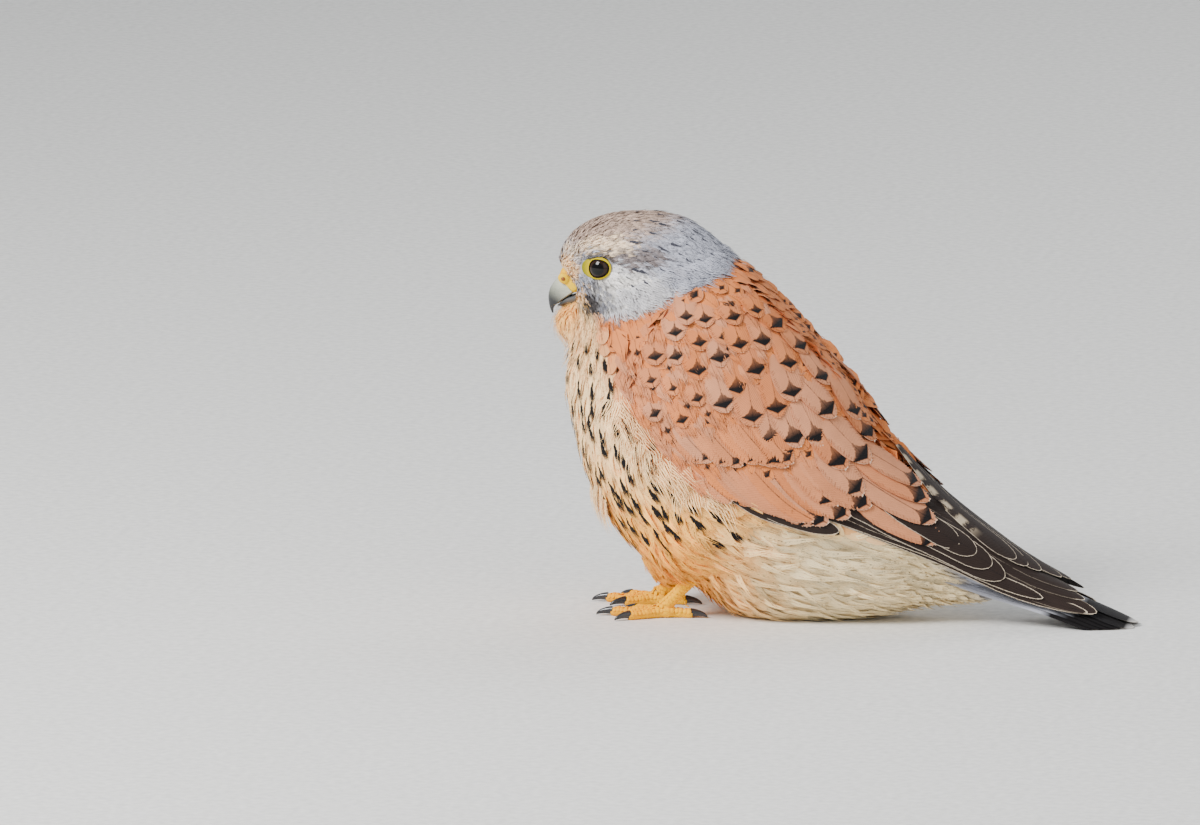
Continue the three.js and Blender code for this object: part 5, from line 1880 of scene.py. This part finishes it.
    def spotted(self, row: Spotted, seed: int, start: int) -> Batch:
        """The spotted feathers of one row, each with its spot where it belongs.

        Args:
            row: the row.
            seed: start of the random draws.
            start: the first free cell on the export's map.
        Returns:
            The batch.
        """
        spots = np.array(row.spots, float)
        slant = row.slant * ease(78, 48, spots[:, 1:])
        slant = slant + np.random.default_rng(seed).normal(0, 0.07, (len(spots), 1))
        way = unit(np.concatenate([np.ones((len(spots), 1)), slant], 1))
        tips = spots + way * (row.size * 0.7 + 1.4)
        roots = tips - way * row.length
        half = row.half * np.random.default_rng(seed + 50).uniform(0.82, 1.16, len(spots))
        laid = self.lines(roots, tips, half)
        steps = np.array(row.lift) + np.linspace(0, 0.5, len(spots))[:, None]
        mark = (0, row.size * 1.08, row.rim)
        return self.batch(laid, steps, Tone.MANTLE, mark, (0, 0.25), row.tilt, seed, start, row.tip)

    def build(self) -> list[bpy.types.Object]:
        """Makes the wing's pieces.

        Returns:
            The flight feathers, the coverts and the scapulars.
        """
        pieces = []
        for name, rows, make in (
            ("flight", (*self.flight, self.over_back[self.side]), self.tract),
            ("coverts", self.coverts, self.tract),
            ("scapulars", self.scapulars, self.spotted),
        ):
            batches = [self.cover(59, 0)] if name == "scapulars" else []
            start = sum(len(b.places) for b in batches)
            for i, row in enumerate(rows):
                made = make(row, 60 + i, start)
                start += len(made.places)
                batches.append(made)
                if name in self.rise_over:
                    steps = np.linspace(0, self.rise_over[name], len(made.places))[:, None]
                    batches.append(self.barbed(made, np.array(row.lift) + steps, row.tilt, row.tip, 80 + i))
            pieces.append(feather_piece(f"wing_{self.side}_{name}", batches, self.material))
        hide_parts(f"wing_{self.side}")
        return pieces


@dataclass
class Tail:
    """The folded tail of twelve feathers, the middle pair on top."""

    material: bpy.types.Material
    line: tuple[Triple, ...] = (
        (0, 16, 38.5), (0.3, 54, 28.2), (0.6, 90, 18.6), (0.82, 116, 11.2), (1, 137.3, 2.2),
    )
    arch: float = 30
    step: float = 0.87
    half: float = 6.4
    camber: float = 0.75
    pairs: int = 6
    middle_pair: dict[int, float] = field(default_factory=lambda: {-1: 2, 1: 4})
    first_aside: float = 6.3
    aside_step: float = 1.35
    lean: float = 0.27
    band: tuple[float, float] = (29, 26.5)
    white_tip: tuple[float, float] = (3, 1.5)
    rim: float = 0.35
    shaft: float = 0.35

    def line_of(self, pair: int, side: int) -> Laid:
        """Lays one feather.

        Args:
            pair: 0 for the middle pair, which lies on top.
            side: 1 for the right one, -1 for the left one.
        Returns:
            The laid feather.
        """
        layer = pair + 1 if pair else int(side > 0)
        aside = side * (self.first_aside + self.aside_step * (pair - 1) if pair else self.middle_pair[side])
        reach = 1 - 0.0052 * pair**1.9
        s = between(self.line, np.linspace(0.02, reach, Laid.KNOTS))
        y = aside * np.linspace(0.8, 1, Laid.KNOTS)
        middle = np.stack([s[:, 0], y, s[:, 1] - y**2 / (2 * self.arch) - self.step * layer], -1)
        out = unit(np.stack([self.lean + 0 * y, y / self.arch, 1 + 0 * y], -1))
        return Laid.from_lines(middle[None], out[None], np.array([self.half]))

    def tone(self, pattern: Pattern, left: np.ndarray) -> np.ndarray:
        """Grey with a paler underside, a dark band and a pale tip.

        Args:
            pattern: the feather's shape.
            left: how far each of its points is from the tip in mm.
        Returns:
            The colour of each point.
        """
        tail, dark, pale = (t.colour() for t in (Tone.TAIL, Tone.DARK, Tone.TAIL_UNDER))
        below = 0.75 * (pattern.points[:, 2] < -0.01) * (left > 27)
        tone = tail + (pale - tail) * below[:, None]
        band = ease(*self.band, left) * ease(*self.white_tip[::-1], left)
        tone = tone + (dark - tone) * band[:, None]
        return tone + (pale - tone) * ease(*self.white_tip, left)[:, None]

    def build(self) -> bpy.types.Object:
        """Makes the tail with its dark band before the pale tips.

        Returns:
            The piece.
        """
        batches = []
        pattern = Pattern.vane(22, 7, 0.28, 0.86, 0.6)
        for pair in range(self.pairs):
            for side in SIDES.values():
                laid = self.line_of(pair, side)
                tone = self.tone(pattern, (1 - pattern.points[:, 1]) * laid.length[0])
                cells = np.array([[(pair + 0.5) / self.pairs, 0.25 if side < 0 else 0.75]])
                batches.append(Batch(
                    pattern, laid, laid.fill(pattern, (0, 0, 0), self.camber), tone[None],
                    np.array([[0, 0, self.rim]]), np.array([[0, self.shaft, 0.02 * side]]), cells,
                    1 / self.pairs,
                ))
        piece = feather_piece("tail_feathers", batches, self.material)
        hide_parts("tail")
        return piece


@dataclass
class Eye:
    """One eye: the dark ball, the yellow ring of bare lid and the bare skin before it."""

    side: str
    ring: tuple[float, float] = (5.3, 4.5)
    sides: int = 12
    # Each rim: name, near and far tone, place out from the ring, width, thickness, more width at the front.
    rims: tuple[tuple[str, str, str, float, float, float, float], ...] = (
        ("lid_edge", "#1B1512", "#1B1512", -0.42, 0.34, 0.45, 0),
        ("orbital_skin", "#C4AC00", "#84800A", 0.3, 0.95, 0.7, 2.9),
    )

    def place(self, aside: np.ndarray, up: np.ndarray, out: np.ndarray) -> np.ndarray:
        """Places that are given from the eye's middle.

        Args:
            aside: how far ahead to the bill they are in mm.
            up: how far up.
            out: how far out of the head.
        Returns:
            The places.
        """
        side = SIDES[self.side]
        c, s = math.cos(EYE_TURN), math.sin(EYE_TURN)
        x = -aside * c - out * s
        y = side * (out * c - aside * s)
        return np.stack([EYE[0] + x, side * EYE[1] + y, EYE[2] + up], -1)

    def rim(self, shift: float, wide: float, thick: float, front: float) -> Shape:
        """A rim of bare skin round the eye.

        Args:
            shift: how far out from the ring's line its middle lies, in mm.
            wide: its width in mm.
            thick: its thickness in mm.
            front: how much wider it is before the eye, in mm.
        Returns:
            The closed rim.
        """
        turn = np.linspace(0, FULL_TURN, 72, endpoint=False)
        ahead = full(np.cos(turn)) * self.ring[0] - 0.1
        up = full(np.sin(turn)) * self.ring[1] * (1 + 0.1 * np.cos(turn)) - 0.25 * np.cos(turn)
        extra = front * np.clip(np.cos(turn - 0.05), 0, 1) ** 5
        rings = []
        for a in np.linspace(0, FULL_TURN, self.sides, endpoint=False):
            across = shift + (wide + extra) / 2 * (1 + math.cos(a)) - wide / 2
            scale = 1 + across / np.hypot(ahead, up)
            x, z = ahead * scale, up * scale
            away = np.hypot(x, z)
            on = np.sqrt(np.clip((EYE_RADIUS + 0.15) ** 2 - away**2, 0, None))
            on = np.maximum(on, 3.5 - 0.12 * (away - 5.6))
            rings.append(self.place(x, z, on + 0.1 + thick * 0.5 * math.sin(a) * (1 - 0.25 * extra / 3)))
        points = np.stack(rings, 1)
        count = len(points)
        faces = []
        for i in range(count):
            for j in range(self.sides):
                k = (j + 1) % self.sides
                here, there = i * self.sides, (i + 1) % count * self.sides
                faces += [(here + j, here + k, there + k), (here + j, there + k, there + j)]
        return Shape.turned_out(points.reshape(-1, 3), np.array(faces))

    def build(self) -> list[bpy.types.Object]:
        """Makes the eye, its ring and the dark edge between them.

        Returns:
            The three pieces.
        """
        side = SIDES[self.side]
        ball = Shape.ball((EYE[0], side * EYE[1], EYE[2]), (EYE_RADIUS,) * 3, 0, 40)
        eye = make_object(f"eyeball_{self.side}", ball)
        middle = tuple(self.place(np.zeros(1), np.zeros(1), np.full(1, EYE_RADIUS))[0])
        eye.data.materials.append(Keratin(
            f"cornea_over_iris_{self.side}", "#050404", "#2B1A10", middle, (3.4, 4.2),
            grain=0.5, relief=0.0, roughness=0.05, gloss=0.3,
        ).make())
        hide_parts(f"eye_{self.side}")
        pieces = [eye]
        for name, near, far, *form in self.rims:
            piece = make_object(f"{name}_{self.side}", self.rim(*form))
            piece.data.materials.append(Keratin(
                f"{name}_bare_skin_{self.side}", near, far, middle, (6.0, 9.5),
                grain=0.35, relief=0.3, roughness=0.6, gloss=0.12,
            ).make())
            pieces.append(piece)
        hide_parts(f"orbital_ring_{self.side}")
        for piece in pieces:
            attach(piece, Body.ROOT.value)
        log.info("eye %s: %d pieces", self.side, len(pieces))
        return pieces


@dataclass
class Bristles:
    """The lash-like bristles over each eye and the hair-like ones round the bill's base."""

    ground: Ground
    # The lashes are real dark bristles, and they also give the dark line under the brow's overhang: partly
    # painted shade.
    lash_rings: tuple[float, ...] = (6.6, 7.3)
    whisker_rows: tuple[Triple, ...] = (
        (-124.5, 143, 150.5), (-122.8, 142, 151), (-120.8, 143, 152),
    )
    # Each kind: height over the skin, spacing, size, and turn out of its row in radians.
    kinds: dict[str, tuple[float, float, Triple, float]] = field(default_factory=lambda: {
        "lash": (1.3, 0.8, (0.1, 1.15, 0.08), 0.5), "whisker": (1.0, 0.9, (0.09, 1.9, 0.08), 1.0),
    })

    def lines(self, side: int) -> dict[str, list[np.ndarray]]:
        """Lines of roots near the skin.

        Args:
            side: 1 for the right side, -1 for the left one.
        Returns:
            The lines of the lashes over the eye and of the whiskers at the bill's base, in mm.
        """
        turn = np.radians(np.linspace(35, 150, 24))
        ahead, up, aside = 1.08 * np.cos(turn), 0.9 * np.sin(turn), np.full(len(turn), side * (EYE[1] + 3))
        lashes = [np.stack([EYE[0] - r * ahead, aside, EYE[2] + r * up], -1) for r in self.lash_rings]
        whiskers = [
            np.stack([np.full(12, x), np.full(12, side * 9.0), np.linspace(low, high, 12)], -1)
            for x, low, high in self.whisker_rows
        ]
        return {"lash": lashes, "whisker": whiskers}

    def build(self) -> list[bpy.types.Object]:
        """Makes the bristles of both sides.

        Returns:
            The pieces.
        """
        finish = Keratin(
            "bristle_keratin", "#1D1816", "#3A302B", (-115, 0, 160), (4, 30),
            grain=0.5, relief=0.1, roughness=0.5,
        ).make()
        pieces = []
        for name, side in SIDES.items():
            for kind, lines in self.lines(side).items():
                height, spacing, size, turn = self.kinds[kind]
                found = [self.ground.nearest(line) for line in lines]
                rows = [(places + outs * height, outs) for places, outs in found]
                piece = Studs().build(f"bristles_{kind}_{name}", rows, {
                    "Spacing": spacing * MM, "Size": tuple(v * MM for v in size), "Turn": side * turn,
                    "Vary": 0.3, "Seed": 11, "Finish": finish,
                })
                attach(piece, Body.ROOT.value)
                pieces.append(piece)
        return pieces


@dataclass
class Bill:
    """The hooked bill with the cere over its base.

    A station is its place in the row, x and z of the top, x and z of the bottom, and half the width.
    """

    upper: Rows = (
        (0, -132.1, 155.2, -125.6, 148.9, 5.9), (1, -134.8, 152.6, -128.6, 146.7, 5.4),
        (2, -136.8, 149.5, -131, 144.8, 4.6), (3, -137.6, 146.2, -132.9, 143.1, 3.6),
        (4, -137.5, 143, -134.4, 141.8, 2.4), (5, -136.9, 140.1, -135.4, 139.9, 1.25),
        (6, -135.9, 137.7, -135.3, 137.9, 0.3),
    )
    lower: Rows = (
        (0, -123.5, 147, -124.2, 141.6, 5.3), (1, -128.3, 145.4, -128.7, 141, 4.6),
        (2, -131.3, 143.2, -131.4, 141, 3.2), (3, -133.3, 141.6, -133.2, 141.2, 1.2),
    )
    cere: Rows = (
        (0, -127.2, 161.8, -120.6, 151.8, 6.6), (1, -130.8, 158.9, -123.8, 149.9, 6.5),
        (2, -132.4, 155.4, -125.4, 149.0, 6.2),
    )
    cere_swell: float = 0.25
    pad: tuple[Triple, Triple, float] = (
        (-129.3, 5.6, 154.9), (3.0, 1.6, 2.5), 0.4,
    )
    nostril: tuple[Triple, Triple] = ((-129.5, 7.0, 154.9), (1.05, 0.5, 0.95))

    def form(self, stations: Sequence[Sequence[float]], vault: int, rings: int, grow: float = 0) -> Shape:
        """A bill piece.

        Args:
            stations: its stations from the root to the tip.
            vault: 1 where it is vaulted above, -1 where it is vaulted below.
            rings: number of rings along it.
            grow: how far it is swollen in mm.
        Returns:
            The closed form.
        """
        s = between(stations, np.linspace(0, stations[-1][0], rings))
        top = np.stack([s[:, 0], 0 * s[:, 0], s[:, 1]], -1)
        bottom = np.stack([s[:, 2], 0 * s[:, 0], s[:, 3]], -1)
        arch, base = (top, bottom) if vault > 0 else (bottom, top)
        up = arch - base
        out = unit(up)
        turn = np.linspace(0, FULL_TURN, 40, endpoint=False)
        sine = np.sin(turn)
        height = np.where(sine > 0, sine, 0.12 * sine)
        wide = np.cos(turn) * np.where(sine > 0, np.sqrt(1.08 - 0.2 * np.maximum(sine, 0)), 0.98)
        swell = grow * np.sign(sine)
        points = base[:, None] + up[:, None] * height[:, None] + out[:, None] * swell[:, None]
        points[:, :, 1] = (s[:, 4] + grow)[:, None] * wide[None]
        return Shape.loft(points)

    def build(self) -> list[bpy.types.Object]:
        """Makes the upper and lower bill, the cere and the nostrils.

        Returns:
            The pieces.
        """
        horn = Keratin(
            "bill_horn", "#121317", "#B9BBA8", (-136.6, 0, 139), (6.0, 16.5),
            grain=0.7, relief=0.06, roughness=0.28, coat=0.25,
        ).make()
        dark = Keratin(
            "bill_lower_horn", "#17181C", "#5A5E62", (-132, 0, 141), (3, 9),
            grain=0.7, relief=0.06, roughness=0.3, coat=0.2,
        ).make()
        pieces = []
        for name, stations, vault, rings, node, finish in (
            ("bill_upper_horn", self.upper, 1, 44, "bill_upper", horn),
            ("bill_lower_horn", self.lower, -1, 24, "bill_lower", dark),
        ):
            piece = make_object(name, self.form(stations, vault, rings))
            piece.data.materials.append(finish)
            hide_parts(node)
            pieces.append(piece)
        (x, y, z), reach, turn = self.pad
        pads = [Shape.ball((x, sign * y, z), reach, turn) for sign in SIDES.values()]
        skin = fused([self.form(self.cere, 1, 20, self.cere_swell), *pads], 0.35, 4)
        cere = make_object("cere_bare_skin", skin)
        cere.data.materials.append(
            Keratin(
                "cere_waxy_skin", "#FFA800", "#F0C400", (-131, 0, 153), (3, 9),
                grain=0.5, relief=0.25, roughness=0.5, gloss=0.15,
            ).make()
        )
        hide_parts("cere")
        pieces.append(cere)
        (x, y, z), reach = self.nostril
        for side, sign in SIDES.items():
            middle = (x, sign * y, z)
            hole = make_object(f"nostril_{side}", Shape.ball(middle, reach, 0, 14))
            # The nostril's middle is near black and turns brown towards its edge: painted shade inside the
            # opening.
            hollow = Keratin(f"nostril_painted_shade_{side}", "#2A1606", "#8A4A10", middle, (0.7, 1.1))
            hole.data.materials.append(hollow.make())
            pieces.append(hole)
        for piece in pieces:
            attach(piece, Body.ROOT.value)
        log.info("bill: %d pieces", len(pieces))
        return pieces


@dataclass
class Leg:
    """A bare shank with its four toes and claws."""

    side: str
    hem: Triple
    foot: tuple[float, float]
    turn: float
    digits: tuple[tuple[str, float, float], ...] = (
        ("inner", -30, 17), ("middle", -2, 25), ("outer", 30, 18.5), ("hind", 176, 12.5),
    )
    toe_radius: float = 2.5
    toe_knuckle: float = 0.1
    claw_length: float = 10.5
    claw_radius: float = 1.6
    claw_sweep: float = 1.35
    sole_height: float = 5.4
    pad: Triple = (4.6, 4.4, 2.9)
    shank: tuple[tuple[float, float], ...] = ((-0.5, 3.6), (0, 3.3), (0.4, 2.9), (0.8, 2.9), (1.05, 3.3))
    scute_turns: tuple[float, ...] = (-150, -105, -62, -21, 21, 62, 105, 150)
    scute_swings: tuple[float, ...] = (-52, 0, 52)
    scute_size: Triple = (1.25, 1.05, 0.3)
    scute_gap: float = 1.75

    def place(self, turn: float, distance: float, height: float) -> Triple:
        """A place on a toe's line.

        Args:
            turn: the toe's turn out of the foot's own direction, in degrees.
            distance: how far from the foot's middle the place is, in mm.
            height: how high it is.
        Returns:
            The place.
        """
        side = SIDES[self.side]
        heading = math.pi + side * (math.radians(-turn) + math.radians(self.turn) * side)
        x, y = self.foot
        return x + distance * math.cos(heading), y + distance * math.sin(heading), height

    def on_shank(self, share: np.ndarray) -> np.ndarray:
        """Places on the shank's middle line, from 0 at the thigh's hem to 1 at the sole."""
        top, sole = np.array(self.hem), np.array((*self.foot, self.sole_height))
        return top + (sole - top) * np.asarray(share)[:, None]

    def scutes(self, ground: Ground, skin: bpy.types.Material) -> bpy.types.Object:
        """Rows of horny scales down the shank and along the top and the sides of each toe.

        Args:
            ground: the leg's surface.
            skin: its finish.
        Returns:
            The piece.
        """
        rows = []
        line = self.on_shank(np.linspace(-0.1, 0.95, 12))
        outside = 6
        for turn in np.radians(self.scute_turns):
            rows.append(ground.nearest(line + np.array((-math.cos(turn), math.sin(turn), 0)) * outside))
        for _, turn, length in self.digits:
            line = np.array([self.place(turn, r, 1.5) for r in np.linspace(2.5, length - 0.5, 10)])
            ahead = unit(line[-1:] - line[:1])[0]
            for swing in np.radians(self.scute_swings):
                c, s = math.cos(swing), math.sin(swing)
                aside = np.array((-ahead[1] * s, ahead[0] * s, c))
                rows.append(ground.nearest(line + aside * outside))
        piece = Studs().build(f"leg_scutes_{self.side}", rows, {
            "Spacing": self.scute_gap * MM, "Size": tuple(v * MM for v in self.scute_size), "Turn": 0.0,
            "Vary": 0.1, "Seed": 7, "Finish": skin,
        })
        return piece

    def toe(self, turn: float, length: float) -> Shape:
        """A toe with a swell at every other joint.

        Args:
            turn: its turn out of the foot's own direction, in degrees.
            length: its length in mm.
        Returns:
            The closed form.
        """
        stops = []
        for i, u in enumerate(np.linspace(0, 1, 7)):
            radius = self.toe_radius * (1 - 0.24 * u) * (1 + self.toe_knuckle * (1 if i % 2 else -1))
            stops.append((*self.place(turn, 1 + (length - 0.6) * u, radius * 0.95), radius))
        return Shape.tube(stops, 30, 20)

    def claw(self, turn: float, length: float) -> Shape:
        """A claw that sweeps down from the toe's end.

        Args:
            turn: the toe's turn out of the foot's own direction, in degrees.
            length: the toe's length in mm.
        Returns:
            The closed form.
        """
        stops = []
        for u in np.linspace(0, 1, 8):
            sweep, radius = self.claw_sweep * u, self.claw_length / self.claw_sweep
            drop = radius * (1 - math.cos(sweep)) * 0.36
            place = self.place(turn, length - 0.4 + radius * math.sin(sweep), 2.6 - drop)
            stops.append((*place, self.claw_radius * (1 - u) ** 0.8 + 0.12))
        return Shape.tube(stops, 20, 16, 1.15)

    def build(self, skin: bpy.types.Material, horn: bpy.types.Material) -> list[bpy.types.Object]:
        """Makes the leg.

        Args:
            skin: finish of the yellow scaled skin.
            horn: finish of the claws.
        Returns:
            The leg and its claws.
        """
        share, radii = np.array(self.shank).T
        forms = [
            Shape.tube(np.column_stack([self.on_shank(share), radii]), 20, 24),
            Shape.ball((self.foot[0] + 0.3, self.foot[1], 2.6), self.pad),
        ]
        pieces = []
        for name, turn, length in self.digits:
            forms.append(self.toe(turn, length))
            piece = make_object(f"talon_{name}_{self.side}", self.claw(turn, length))
            piece.data.materials.append(horn)
            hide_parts(f"claw_{name}_{self.side}")
            pieces.append(piece)
        shape = fused(forms, 0.45, 3)
        shape.points[:, 2] = np.maximum(shape.points[:, 2], 0)
        leg = make_object(f"leg_scaled_skin_{self.side}", shape)
        leg.data.materials.append(skin)
        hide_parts(f"tarsus_{self.side}", f"foot_{self.side}")
        pieces.append(leg)
        pieces.append(self.scutes(Ground(shape), skin))
        for piece in pieces:
            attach(piece, Body.ROOT.value)
        log.info("leg %s: %d pieces", self.side, len(pieces))
        return pieces


@dataclass
class Studio:
    """A plain pale floor, soft daylight from large lamps, and the camera at the photograph's angle."""

    azimuth: float = math.radians(10)
    elevation: float = math.radians(10)
    distance: float = 7.0
    frame_width: float = 0.552
    centre: Triple = (-111.8, 93.8, 15.6)
    film: float = 36
    clip_end: float = 100
    floor_reach: float = 30000
    # Each lamp: name, place and width in m, and power in W. All of them face a point in the bird's breast.
    lamps: tuple[tuple[str, Triple, float, float], ...] = (
        ("key_lamp", (-1.5, -1.5, 1.8), 1.1, 120), ("fill_lamp", (1.6, -1.8, 1.3), 2.2, 16),
        ("rim_lamp", (0.8, 2.0, 1.8), 1.6, 22),
    )
    lit: Triple = (0, 0, 0.09)
    sky: str = "#DCE3EA"
    sky_strength: float = 0.6

    def axes(self) -> tuple[Vector, Vector, Vector]:
        """The camera's directions.

        Returns:
            Right, up and back.
        """
        a, e = self.azimuth, self.elevation
        right = Vector((math.cos(a), math.sin(a), 0))
        up = Vector((-math.sin(a) * math.sin(e), math.cos(a) * math.sin(e), math.cos(e)))
        back = Vector((math.sin(a) * math.cos(e), -math.cos(a) * math.cos(e), math.sin(e)))
        return right, up, back

    def build(self) -> None:
        """Makes the floor, the lamps, the sky and the camera."""
        right, up, back = self.axes()
        aim = (right * self.centre[0] + up * self.centre[1] + back * self.centre[2]) * MM
        camera = bpy.data.cameras.new("camera")
        camera.sensor_width = self.film
        camera.lens = self.film * self.distance / self.frame_width
        camera.clip_end = self.clip_end
        holder = bpy.data.objects.new("camera", camera)
        holder.location = aim + back * self.distance
        holder.rotation_euler = back.to_track_quat("Z", "Y").to_euler()
        bpy.context.scene.collection.objects.link(holder)
        bpy.context.scene.camera = holder
        corners = np.array([(-1, -1, 0), (1, -1, 0), (1, 1, 0), (-1, 1, 0)]) * self.floor_reach
        floor = make_object("floor", Shape(corners, np.array([(0, 1, 2, 3)])))
        # The card is paler round the bird and a little darker towards the distance: a painted pool of light
        # on the floor.
        paper = Keratin(
            "floor_matt_card", "#E9E7E3", "#DEDCD8", (0, 0, 0), (200, 2500),
            grain=4.0, relief=0.02, roughness=0.9,
        ).make()
        floor.data.materials.append(paper)
        for name, place, wide, power in self.lamps:
            lamp = bpy.data.lights.new(name, "AREA")
            lamp.size, lamp.energy = wide, power
            stand = bpy.data.objects.new(name, lamp)
            stand.location = place
            stand.rotation_euler = (Vector(place) - Vector(self.lit)).to_track_quat("Z", "Y").to_euler()
            bpy.context.scene.collection.objects.link(stand)
        world = bpy.data.worlds.new("soft_sky")
        world.use_nodes = True
        world.node_tree.nodes.clear()
        add_nodes(world.node_tree, (
            ("sky", "ShaderNodeBackground", {}, {"Color": rgba(self.sky), "Strength": self.sky_strength}),
            ("output", "ShaderNodeOutputWorld", {}, {0: "sky"}),
        ))
        bpy.context.scene.world = world


def main() -> None:
    """Builds the bird and its studio in order."""
    markings = Markings()
    plumage = Plumage().make()
    _, surface = Skin(markings).build(plumage)
    Coat(Ground(surface), markings, Lie(), plumage).build()
    for side in SIDES:
        Wing(side, plumage, markings).build()
        Eye(side).build()
    Bristles(Ground(surface)).build()
    Tail(plumage).build()
    Bill().build()
    skin = Keratin(
        "leg_scaled_skin", "#FFC400", "#FFB000", (-75, 0, 0), (5, 40),
        grain=1.1, relief=0.5, roughness=0.6, gloss=0.12,
    ).make()
    horn = Keratin(
        "claw_horn", "#1B1A1C", "#2C2A2C", (-90, 0, 0), (5, 40),
        grain=0.8, relief=0.05, roughness=0.3, coat=0.3,
    ).make()
    Leg("left", (-66.5, -17, 19.5), (-80, -16.5), 4).build(skin, horn)
    Leg("right", (-83.5, 16, 9.4), (-88, 15.5), -4).build(skin, horn)
    Studio().build()


if __name__ == "__main__":
    main()
